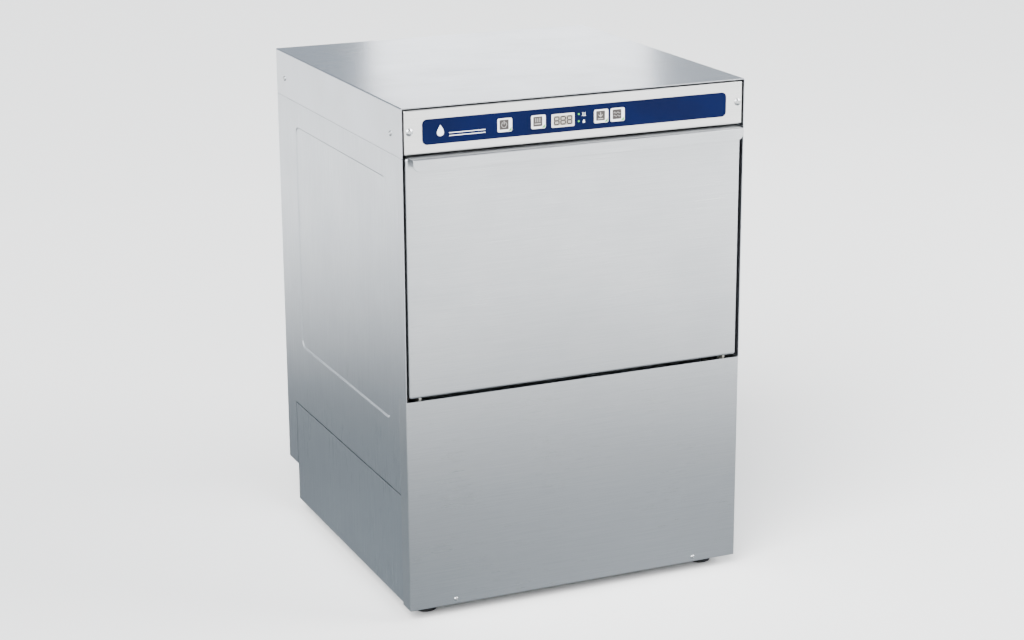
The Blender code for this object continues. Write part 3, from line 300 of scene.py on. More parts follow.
@dataclass(frozen=True)
class HeatedTube:
    """Nickel-steel tube of a heating element, browned by heat.

    Heat gives it straw and brown bands and dulls its shine.
    """

    name: str
    colour: str = "8E7F70"
    band: str = "5F5148"

    def make(self) -> Any:
        """The material."""
        work = Shading(self.name, self.colour, 0.45, 1.0)
        bands = work.noise(45.0, 3.0)
        work.tone(bands, self.colour, self.band)
        work.bump(work.noise(700.0), 0.00003)
        return work.material


@dataclass(frozen=True)
class Plastic:
    """Moulded polymer, such as ABS, polypropylene or glass-filled nylon.

    The tool's spark-eroded skin gives an even fine grain and a soft highlight.
    """

    name: str
    colour: str
    roughness: float = 0.42
    grain_mm: float = 0.5
    depth_mm: float = 0.012
    coat: float = 0.0

    def make(self) -> Any:
        """The material."""
        work = Shading(self.name, self.colour, self.roughness)
        work.set("IOR", 1.50)
        work.set("Coat Weight", self.coat)
        work.set("Coat Roughness", 0.12)
        skin = work.noise(1000 / self.grain_mm, 2.0)
        wear = work.noise(30.0, 3.0)
        work.rough(wear, self.roughness - 0.05, self.roughness + 0.07)
        work.bump(skin, self.depth_mm / 1000)
        return work.material


@dataclass(frozen=True)
class Rubber:
    """Black EPDM rubber, extruded or moulded.

    It gives a nearly matt black with a grey bloom where it has been handled.
    """

    name: str
    colour: str = "161718"
    bloom: str = "2B2C2D"
    roughness: float = 0.62

    def make(self) -> Any:
        """The material."""
        work = Shading(self.name, self.colour, self.roughness)
        cloud = work.noise(55.0, 4.0)
        work.tone(cloud, self.colour, self.bloom)
        work.bump(work.noise(1600.0), 0.00002)
        return work.material


@dataclass(frozen=True)
class StovedPaint:
    """Stoved enamel over rough cast aluminium.

    The casting shows through as a gentle orange-peel, and corners catch the light.
    """

    name: str
    colour: str = "2A2E34"
    roughness: float = 0.38

    def make(self) -> Any:
        """The material."""
        work = Shading(self.name, self.colour, self.roughness)
        work.set("Coat Weight", 0.3)
        peel = work.noise(420.0, 3.0)
        dust = work.noise(16.0, 4.0)
        work.rough(dust, self.roughness - 0.06, self.roughness + 0.15)
        work.bump(peel, 0.00008)
        return work.material


@dataclass(frozen=True)
class PrintedFilm:
    """Polyester film printed on its back, stuck over the control panel.

    The print lies under a fine-textured clear skin, so its blue is deep and its shine is satin.
    """

    name: str
    colour: str = "010B34"
    edge: str = "01092C"
    roughness: float = 0.45

    def make(self) -> Any:
        """The material."""
        work = Shading(self.name, self.colour, self.roughness)
        work.set("IOR", 1.57)
        work.set("Specular IOR Level", 0.06)
        cloud = work.noise(14.0, 2.0)
        work.tone(cloud, self.colour, self.edge)
        work.bump(work.noise(1500.0), 0.000010)
        return work.material


@dataclass(frozen=True)
class Ink:
    """Screen-printing ink for the marks on keys and film, thin and even with a faint mottle."""

    name: str
    colour: str
    roughness: float = 0.45
    glow: float = 0.0

    def make(self) -> Any:
        """The material."""
        work = Shading(self.name, self.colour, self.roughness)
        if self.glow:
            work.set("Emission Color", linear(self.colour))
            work.set("Emission Strength", self.glow)
        mottle = work.noise(900.0, 1.0)
        work.rough(mottle, self.roughness - 0.05, self.roughness + 0.05)
        return work.material


@dataclass(frozen=True)
class Laminate:
    """Glass-epoxy board under solder resist: green, with copper tracks that show as paler lines."""

    name: str
    colour: str = "1E5B34"
    track: str = "2F7A4A"

    def make(self) -> Any:
        """The material."""
        work = Shading(self.name, self.colour, 0.35)
        inputs = {"Vector": work.place, "Scale": 260.0, "Distortion": 0.0}
        tracks = put(work.tree, "ShaderNodeTexWave", inputs, bands_direction="X").outputs["Fac"]
        work.tone(tracks, self.colour, self.track, 0.6, 0.7)
        return work.material


class Finishes:
    """Every finish of the machine, each made once."""

    def __init__(self) -> None:
        """Makes the materials."""
        self.front = BrushedSteel("brushed_steel_front", Axis.X).make()
        self.side = BrushedSteel("brushed_steel_side", Axis.Z, colour="CCD0D4", shade="C0C4C9").make()
        self.top = BrushedSteel("brushed_steel_top", Axis.X, colour="CDD1D8", roughness=0.25).make()
        # Painted light: the fascia's steel is a paler copy of the door's, standing in for the brighter
        # reflection it shows.
        self.fascia = BrushedSteel("brushed_steel_fascia_painted_light", Axis.X, colour="EDEDEB", shade="E2E2E0").make()
        self.chamber = PressedSteel("rolled_steel_chamber").make()
        self.liner = PressedSteel("rolled_steel_door_liner", colour="D0D3D5", roughness=0.32).make()
        self.arm = PressedSteel("polished_steel_arms", colour="D3D5D6", roughness=0.22).make()
        self.zinc = ZincPlate("zinc_plated_steel").make()
        self.screw = TurnedMetal("stainless_screw", "C3C5C6", 0.22).make()
        self.brass = TurnedMetal("turned_brass", "B8924A").make()
        self.element = HeatedTube("heating_tube").make()
        self.film = PrintedFilm("printed_blue_film").make()
        self.key = Plastic("silver_key_abs", "E3E4E4", 0.34, coat=0.2).make()
        self.bezel = Plastic("silver_display_bezel", "CFCFCB", 0.30, coat=0.3).make()
        self.black = Plastic("black_nylon", "1A1B1D", 0.45).make()
        self.grey = Plastic("grey_polypropylene", "73787C", 0.48).make()
        self.rubber = Rubber("black_rubber").make()
        self.hose = Rubber("hose_rubber", colour="1B1C1E", bloom="303133", roughness=0.55).make()
        self.paint = StovedPaint("motor_enamel").make()
        self.board = Laminate("green_board").make()
        self.white_ink = Ink("white_ink", "E9ECF2").make()
        self.grey_ink = Ink("grey_ink", "332E2C").make()
        self.sign_ink = Ink("pale_sign_ink", "A9A6A3").make()
        self.digit_ink = Ink("display_segment", "2A231E").make()
        self.lcd = Ink("display_ground", "98948B", 0.35).make()
        self.lamp = Ink("green_lamp", "3C9E38", 0.25, glow=0.25).make()


# Meshes.


def link(obj: Any) -> Any:
    """Puts an object in the scene."""
    bpy.context.scene.collection.objects.link(obj)
    return obj


def mesh_object(name: str, bm: Any, material: Any) -> Any:
    """Makes an object from a bmesh, which is freed.

    Args:
        name: the object's name.
        bm: the bmesh.
        material: its finish.

    Returns:
        The new object.
    """
    mesh = bpy.data.meshes.new(name)
    bm.to_mesh(mesh)
    bm.free()
    mesh.materials.append(material)
    return link(bpy.data.objects.new(name, mesh))


def to_object(name: str, bm: Any, material: Any) -> Any:
    """Makes a closed piece from a bmesh, with its points merged and its faces turned out."""
    bmesh.ops.remove_doubles(bm, verts=bm.verts[:], dist=1e-6)
    bmesh.ops.recalc_face_normals(bm, faces=bm.faces[:])
    return mesh_object(name, bm, material)


def bake(obj: Any) -> Any:
    """Turns an object's modifiers into plain mesh.

    Args:
        obj: the mesh or curve object.

    Returns:
        The mesh object.
    """
    graph = bpy.context.evaluated_depsgraph_get()
    mesh = bpy.data.meshes.new_from_object(obj.evaluated_get(graph))
    mesh.name = obj.name
    old = obj.data
    obj.modifiers.clear()
    if obj.type == "MESH":
        obj.data = mesh
        return obj
    name = obj.name
    bpy.data.objects.remove(obj)
    made = link(bpy.data.objects.new(name, mesh))
    made.name = name
    bpy.data.curves.remove(old)
    return made


def soften(obj: Any, width: float = 0.0003, segments: int = 2, angle: float = 40.0) -> Any:
    """Rounds a piece's sharp edges and shades it smoothly.

    Args:
        obj: the piece.
        width: the rounding, in metres.
        segments: steps across it.
        angle: edges sharper than this are rounded, in degrees.

    Returns:
        The same piece.
    """
    if width:
        bevel = obj.modifiers.new("edge", "BEVEL")
        bevel.width = width
        bevel.segments = segments
        bevel.limit_method = "ANGLE"
        bevel.angle_limit = math.radians(angle)
        bevel.use_clamp_overlap = True
        bake(obj)
    obj.data.shade_smooth()
    obj.data.set_sharp_from_angle(angle=math.radians(48))
    weighted = obj.modifiers.new("flat_faces", "WEIGHTED_NORMAL")
    weighted.keep_sharp = True
    weighted.weight = 80
    return bake(obj)


def boolean(obj: Any, tool: Any, operation: str = "DIFFERENCE") -> Any:
    """Cuts or joins one shape with another, which is then removed.

    Args:
        obj: the piece.
        tool: the other shape.
        operation: DIFFERENCE or UNION.

    Returns:
        The same piece.
    """
    modifier = obj.modifiers.new("shape", "BOOLEAN")
    modifier.object = tool
    modifier.operation = operation
    modifier.solver = "EXACT"
    bake(obj)
    bpy.data.objects.remove(tool)
    return obj


def thicken(obj: Any, thickness: float, offset: float = -1.0, even: bool = False) -> Any:
    """Gives a sheet its wall.

    Args:
        obj: the sheet.
        thickness: its gauge.
        offset: -1 for a wall inside the faces and 0 for one on both sides of them.
        even: whether folds keep the gauge.

    Returns:
        The same piece.
    """
    wall = obj.modifiers.new("wall", "SOLIDIFY")
    wall.thickness = thickness
    wall.offset = offset
    wall.use_even_offset = even
    return bake(obj)


def box_mesh(low: Point, high: Point) -> Any:
    """A bmesh of a closed box.

    Args:
        low: its lowest corner.
        high: its highest corner.

    Returns:
        The bmesh.
    """
    bm = bmesh.new()
    size = [b - a for a, b in zip(low, high)]
    centre = [(a + b) / 2 for a, b in zip(low, high)]
    matrix = Matrix.Translation(centre) @ Matrix.Diagonal((*size, 1))
    bmesh.ops.create_cube(bm, size=1.0, matrix=matrix)
    return bm


def block(name: str, low: Point, high: Point, material: Any) -> Any:
    """A closed box, as a blank for cutting."""
    return to_object(name, box_mesh(low, high), material)


def prism(name: str, outline: Outline, axis: Axis, start: float, end: float, material: Any) -> Any:
    """A solid of one outline.

    Args:
        name: the piece's name.
        outline: (y, z) points along X, (x, z) along Y or (x, y) along Z.
        axis: the direction of its length.
        start: where it begins.
        end: where it ends.
        material: its finish.

    Returns:
        The new object.
    """
    bm = bmesh.new()
    others = [index for index in range(3) if index != axis.value]
    ends = []
    for along in (start, end):
        ring = []
        for point in outline:
            place = [0.0, 0.0, 0.0]
            place[axis.value] = along
            place[others[0]], place[others[1]] = point
            ring.append(bm.verts.new(place))
        ends.append(ring)
    bm.faces.new(ends[0])
    bm.faces.new(ends[1])
    for step in range(len(outline)):
        after = (step + 1) % len(outline)
        bm.faces.new((ends[0][step], ends[0][after], ends[1][after], ends[1][step]))
    return to_object(name, bm, material)


def round_rectangle(low: Point, high: Point, radius: float, steps: int = 8) -> Outline:
    """The outline of a rectangle with round corners.

    Args:
        low: lower corner.
        high: upper corner.
        radius: of its corners.
        steps: steps round each corner.

    Returns:
        The outline.
    """
    corners = (
        (high[0] - radius, high[1] - radius), (low[0] + radius, high[1] - radius),
        (low[0] + radius, low[1] + radius), (high[0] - radius, low[1] + radius),
    )
    outline = []
    for number, (x, y) in enumerate(corners):
        for step in range(steps + 1):
            angle = math.pi / 2 * (number + step / steps)
            outline.append((x + radius * math.cos(angle), y + radius * math.sin(angle)))
    return outline


def circle(centre: Point, radius: float, steps: int = 48) -> Outline:
    """The outline of a circle."""
    angles = [math.tau * step / steps for step in range(steps)]
    return [(centre[0] + radius * math.cos(a), centre[1] + radius * math.sin(a)) for a in angles]


def drill(
    obj: Any, centre: Point, radius: float, axis: Axis, start: float, end: float, steps: int = 48
) -> Any:
    """Cuts a round hole.

    Args:
        obj: the piece.
        centre: the hole's middle, across the axis.
        radius: its radius.
        axis: the direction of the drill.
        start: where the cut begins.
        end: where it ends.
        steps: steps round it.

    Returns:
        The same piece.
    """
    return boolean(obj, prism("hole", circle(centre, radius, steps), axis, start, end, obj.data.materials[0]))


def middle_of(node: str) -> tuple[float, float, float]:
    """The middle of a CAD node's box."""
    low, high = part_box(node)
    return (low.x + high.x) / 2, (low.y + high.y) / 2, (low.z + high.z) / 2


def lathe(
    name: str,
    profile: Iterable[tuple[float, float]],
    origin: Point,
    axis: Axis,
    material: Any,
    segments: int = 64,
    edge: float = 0.0004,
) -> Any:
    """A turned piece.

    Args:
        name: the piece's name.
        profile: (distance along the axis, radius) points, round the section.
        origin: where the distance is 0.
        axis: the axis of turning.
        material: its finish.
        segments: steps round it.
        edge: the rounding of its edges.

    Returns:
        The new object.
    """
    turn = axis.vector.to_track_quat("Z", "Y").to_matrix().to_4x4()
    bm = bmesh.new()
    rings = []
    for along, radius in profile:
        count = segments if radius > 0 else 1
        angles = [math.tau * step / segments for step in range(count)]
        rings.append([bm.verts.new((radius * math.cos(a), radius * math.sin(a), along)) for a in angles])
    for ring, following in zip(rings, rings[1:] + rings[:1]):
        if len(ring) == 1 and len(following) == 1:
            continue
        for step in range(segments):
            after = (step + 1) % segments
            corners = [ring[step % len(ring)], ring[after % len(ring)]]
            corners += [following[after % len(following)], following[step % len(following)]]
            bm.faces.new(list(dict.fromkeys(corners)))
    bmesh.ops.transform(bm, matrix=Matrix.Translation(origin) @ turn, verts=bm.verts[:])
    piece = to_object(name, bm, material)
    return soften(piece, edge, angle=25.0) if edge else soften(piece, 0)


def arc_path(corners: Sequence[Point], radius: float, steps: int = 10) -> list[Vector]:
    """A path of straight runs with an arc at each inner corner.

    Args:
        corners: the ends of the runs.
        radius: of the arcs.
        steps: steps along each arc.

    Returns:
        The points of the path.
    """
    path = [Vector(corners[0])]
    for before, corner, after in zip(corners, corners[1:], corners[2:]):
        middle = Vector(corner)
        back = (Vector(before) - middle).normalized()
        ahead = (Vector(after) - middle).normalized()
        half = back.angle(ahead) / 2
        centre = middle + (back + ahead).normalized() * (radius / math.sin(half))
        start = middle + back * (radius / math.tan(half)) - centre
        end = middle + ahead * (radius / math.tan(half)) - centre
        turn = start.rotation_difference(end)
        for step in range(steps + 1):
            path.append(centre + Quaternion(turn.axis, turn.angle * step / steps) @ start)
    path.append(Vector(corners[-1]))
    return path


def bar(name: str, path: Sequence[Point], radius: float, material: Any, rings: int = 6) -> Any:
    """A round bar or hose along a path, with closed ends.

    Args:
        name: the piece's name.
        path: the points of its middle line.
        radius: of its section.
        material: its finish.
        rings: steps round a quarter of it.

    Returns:
        The new piece.
    """
    curve = bpy.data.curves.new(name, "CURVE")
    curve.dimensions = "3D"
    curve.bevel_depth = radius
    curve.bevel_resolution = rings
    curve.use_fill_caps = True
    spline = curve.splines.new("POLY")
    spline.points.add(len(path) - 1)
    for target, point in zip(spline.points, path):
        target.co = (*point, 1)
    curve.materials.append(material)
    return soften(merge(bake(link(bpy.data.objects.new(name, curve)))), 0)


def merge(obj: Any) -> Any:
    """Merges a piece's doubled points and turns its faces out.

    Args:
        obj: the piece.

    Returns:
        The same piece.
    """
    bm = bmesh.new()
    bm.from_mesh(obj.data)
    bmesh.ops.remove_doubles(bm, verts=bm.verts[:], dist=1e-5)
    bmesh.ops.recalc_face_normals(bm, faces=bm.faces[:])
    bm.to_mesh(obj.data)
    bm.free()
    return obj


def joined(name: str, pieces: Sequence[Any]) -> Any:
    """Makes one piece of several, which keep their finishes.

    Args:
        name: the new piece's name.
        pieces: the parts, which are removed.

    Returns:
        The new piece.
    """
    bm = bmesh.new()
    materials: list[Any] = []
    for piece in pieces:
        start = len(bm.faces)
        bm.from_mesh(piece.data)
        bm.faces.ensure_lookup_table()
        own = [slot.material for slot in piece.material_slots]
        for material in own:
            if material not in materials:
                materials.append(material)
        for face in bm.faces[start:]:
            face.material_index = materials.index(own[face.material_index])
    mesh = bpy.data.meshes.new(name)
    bm.to_mesh(mesh)
    bm.free()
    for material in materials:
        mesh.materials.append(material)
    for piece in pieces:
        bpy.data.objects.remove(piece)
    return soften(link(bpy.data.objects.new(name, mesh)), 0)


@dataclass
class FoldedSheet:
    """A box folded from sheet, with some of its sides left open.

    Attributes:
        name: the piece's name.
        low: lowest corner of its outside.
        high: highest corner of its outside.
        open_sides: outward directions of the missing sides, such as "-Y".
        material: its finish.
        thickness: the sheet's gauge.
        fold: the outer radius of its folds.
        cuts: shapes that are punched through it.
        additions: shapes that are pressed or welded on before the cuts.
    """

    name: str
    low: Point
    high: Point
    open_sides: tuple[str, ...]
    material: Any
    thickness: float = 0.0012
    fold: float = 0.0022
    segments: int = 5
    cuts: list[Any] = field(default_factory=list)
    additions: list[Any] = field(default_factory=list)

    def make(self) -> Any:
        """Folds, punches and softens the sheet."""
        bm = box_mesh(self.low, self.high)
        gone = []
        for face in bm.faces:
            for side in self.open_sides:
                direction = Axis[side[1]].vector * (1 if side[0] == "+" else -1)
                if face.normal.dot(direction) > 0.9:
                    gone.append(face)
        bmesh.ops.delete(bm, geom=gone, context="FACES")
        folds = [edge for edge in bm.edges if len(edge.link_faces) == 2]
        bmesh.ops.bevel(
            bm, geom=folds, offset=self.fold, segments=self.segments, profile=0.5, affect="EDGES"
        )
        sheet = thicken(mesh_object(self.name, bm, self.material), self.thickness, even=True)
        for addition in self.additions:
            boolean(sheet, addition, "UNION")
        for cut in self.cuts:
            boolean(sheet, cut)
        return soften(sheet, 0.00025)


def stand_in(piece: Any, body: str, *nodes: str) -> Any:
    """Rides a piece on its body in place of CAD nodes.

    Args:
        piece: the finished piece.
        body: the body that it moves with.
        nodes: the CAD nodes that it replaces.

    Returns:
        The same piece.
    """
    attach(piece, body)
    if nodes:
        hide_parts(*nodes)
    log.info("%s: %d faces on %s", piece.name, len(piece.data.polygons), body)
    return piece


def dress(node: str, material: Any) -> None:
    """Gives a carried-over CAD node its finish.

    Args:
        node: the node's name.
        material: its finish.
    """
    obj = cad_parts[node]
    obj.data.materials.clear()
    obj.data.materials.append(material)
    log.info("%s: kept, finished as %s", node, material.name)


# Repeated shapes, made by Geometry Nodes.


@dataclass(frozen=True)
class Place:
    """Where one copy of a repeated shape stands: its point, its outward direction and its length's."""

    point: Point
    facing: Point
    along: Point = (1.0, 0.0, 0.0)


class Repeater:
    """Copies one small shape to a list of places, as a single mesh for one body."""

    def __init__(self, name: str, sizes: dict[str, float], material: Any) -> None:
        """Starts the tree.

        Args:
            name: the name of the finished piece.
            sizes: named sizes, in metres, that the shape takes.
            material: the finish of the copies.
        """
        self.name = name
        self.sizes = sizes
        self.material = material
        self.tree = bpy.data.node_groups.new(name + "_tree", "GeometryNodeTree")
        kinds = {"in_out": "INPUT", "socket_type": "NodeSocketGeometry"}
        self.tree.interface.new_socket("Places", **kinds)
        for size in sizes:
            self.tree.interface.new_socket(size, in_out="INPUT", socket_type="NodeSocketFloat")
        self.tree.interface.new_socket("Result", in_out="OUTPUT", socket_type="NodeSocketGeometry")
        self.inputs = put(self.tree, "NodeGroupInput")

    def size(self, name: str) -> Any:
        """The socket of a named size."""
        return self.inputs.outputs[name]

    def node(self, kind: str, inputs: dict[Any, Any] | None = None, **settings: Any) -> Any:
        """A node of this tree."""
        return put(self.tree, kind, inputs, **settings)

    def calculate(self, operation: str, first: Any, second: Any = 0.0) -> Any:
        """The result of a sum in the tree."""
        return self.node("ShaderNodeMath", {0: first, 1: second}, operation=operation).outputs[0]

    def place_at(self, geometry: Any, x: Any = 0.0, y: Any = 0.0, z: Any = 0.0) -> Any:
        """A shape moved by some sizes."""
        offset = self.node("ShaderNodeCombineXYZ", {0: x, 1: y, 2: z}).outputs[0]
        inputs = {"Geometry": geometry, "Translation": offset}
        return self.node("GeometryNodeTransform", inputs).outputs[0]

    def cylinder(self, radius: Any, depth: Any, sides: int = 32) -> Any:
        """A closed cylinder round Z, with its middle at the origin."""
        inputs = {"Vertices": sides, "Radius": radius, "Depth": depth}
        return self.node("GeometryNodeMeshCylinder", inputs).outputs["Mesh"]

    def subtract(self, shape: Any, tool: Any) -> Any:
        """A shape with another cut out of it.

        Args:
            shape: the socket of the shape.
            tool: the socket of the tool.

        Returns:
            The socket of the result.
        """
        node = self.node("GeometryNodeMeshBoolean", operation="DIFFERENCE", solver="EXACT")
        self.tree.links.new(shape, node.inputs[0])
        self.tree.links.new(tool, node.inputs[1])
        return node.outputs[0]

    def build(self, item: Any, places: Sequence[Place]) -> Any:
        """Stands the shape on every place.

        Args:
            item: the socket of the single shape, which points along +Z and lies along +X.
            places: where the copies go.

        Returns:
            One plain mesh object.
        """
        names = ("facing", "along")
        kind = {"data_type": "FLOAT_VECTOR"}
        facing, along = (
            self.node("GeometryNodeInputNamedAttribute", {"Name": name}, **kind).outputs[0]
            for name in names
        )
        upright = self.node("FunctionNodeAlignRotationToVector", {"Vector": facing}, axis="Z")
        inputs = {"Rotation": upright.outputs[0], "Vector": along}
        turned = self.node("FunctionNodeAlignRotationToVector", inputs, axis="X", pivot_axis="Z")
        inputs = {"Points": self.inputs.outputs["Places"], "Instance": item, "Rotation": turned.outputs[0]}
        copies = self.node("GeometryNodeInstanceOnPoints", inputs).outputs[0]
        real = self.node("GeometryNodeRealizeInstances", {"Geometry": copies}).outputs[0]
        inputs = {"Geometry": real, "Material": self.material}
        finished = self.node("GeometryNodeSetMaterial", inputs).outputs[0]
        self.node("NodeGroupOutput", {"Result": finished})
        mesh = bpy.data.meshes.new(self.name)
        mesh.from_pydata([tuple(place.point) for place in places], [], [])
        for name in names:
            values = [value for place in places for value in getattr(place, name)]
            mesh.attributes.new(name, "FLOAT_VECTOR", "POINT").data.foreach_set("vector", values)
        mesh.materials.append(self.material)
        obj = link(bpy.data.objects.new(self.name, mesh))
        modifier = obj.modifiers.new("copies", "NODES")
        modifier.node_group = self.tree
        for socket in self.tree.interface.items_tree:
            if socket.in_out == "INPUT" and socket.name in self.sizes:
                modifier[socket.identifier] = self.sizes[socket.name]
        bake(obj)
        bpy.data.node_groups.remove(self.tree)
        for name in names:
            obj.data.attributes.remove(obj.data.attributes[name])
        return soften(merge(obj), 0)


@dataclass(frozen=True)
class ScrewSet:
    """Button-head or pan-head screws of one size."""

    name: str
    places: tuple[Place, ...]
    radius: float = 0.0045
    height: float = 0.0024
    recess: Recess = Recess.STAR

    def make(self, material: Any) -> Any:
        """Makes the domed heads, each with its pressed drive.

        Args:
            material: the heads' finish.

        Returns:
            The screws as one piece.
        """
        sizes = {"Radius": self.radius, "Height": self.height}
        kit = Repeater(self.name, sizes, material)
        radius, height = kit.size("Radius"), kit.size("Height")
        inputs = {"Vertices": 28, "Radius": radius, "Depth": height, "Fill Segments": 4}
        head = kit.node("GeometryNodeMeshCylinder", inputs).outputs["Mesh"]
        head = kit.place_at(head, z=kit.calculate("MULTIPLY", height, 0.5))
        position = kit.node("GeometryNodeInputPosition").outputs[0]
        parts = kit.node("ShaderNodeSeparateXYZ", {0: position}).outputs
        flat = kit.node("ShaderNodeCombineXYZ", {0: parts[0], 1: parts[1]}).outputs[0]
        reach = kit.node("ShaderNodeVectorMath", {0: flat}, operation="LENGTH").outputs["Value"]
        share = kit.calculate("POWER", kit.calculate("DIVIDE", reach, radius), 2.4)
        drop = kit.calculate("MULTIPLY", kit.calculate("MULTIPLY", share, height), -0.72)
        lower = kit.node("ShaderNodeCombineXYZ", {2: drop}).outputs[0]
        top = kit.calculate("GREATER_THAN", parts[2], kit.calculate("MULTIPLY", height, 0.9))
        inputs = {"Geometry": head, "Selection": top, "Offset": lower}
        head = kit.node("GeometryNodeSetPosition", inputs).outputs[0]
        width = kit.calculate("MULTIPLY", radius, 0.46)
        socket = kit.cylinder(width, height, self.recess.value)
        head = kit.subtract(head, kit.place_at(socket, z=kit.calculate("MULTIPLY", height, 1.05)))
        return kit.build(head, self.places)


@dataclass(frozen=True)
class SlotRow:
    """Punched slots with round ends, as a tool that cuts them."""

    name: str
    places: tuple[Place, ...]
    length: float
    width: float
    depth: float = 0.010

    def make(self, material: Any) -> Any:
        """Makes the cutting shapes.

        Args:
            material: the finish of the cut faces.

        Returns:
            The tools as one shape.
        """
        sizes = {"Length": self.length, "Width": self.width, "Depth": self.depth}
        kit = Repeater(self.name, sizes, material)
        inputs = {"Width": kit.size("Length"), "Height": kit.size("Width")}
        outline = kit.node("GeometryNodeCurvePrimitiveQuadrilateral", inputs).outputs[0]
        radius = kit.calculate("MULTIPLY", kit.size("Width"), 0.49)
        inputs = {"Curve": outline, "Radius": radius, "Count": 6}
        outline = kit.node("GeometryNodeFilletCurve", inputs, mode="POLY").outputs[0]
        inputs = {"Curve": outline}
        plate = kit.node("GeometryNodeFillCurve", inputs, mode="NGONS").outputs[0]
        inputs = {"Mesh": plate, "Offset Scale": kit.size("Depth"), "Individual": False}
        solid = kit.node("GeometryNodeExtrudeMesh", inputs).outputs[0]
        both = kit.node("GeometryNodeJoinGeometry")
        flipped = kit.node("GeometryNodeFlipFaces", {"Mesh": plate}).outputs[0]
        kit.tree.links.new(solid, both.inputs[0])
        kit.tree.links.new(flipped, both.inputs[0])
        lowered = kit.place_at(both.outputs[0], z=kit.calculate("MULTIPLY", kit.size("Depth"), -0.5))
        return kit.build(lowered, self.places)


# The machine's sub-assemblies.


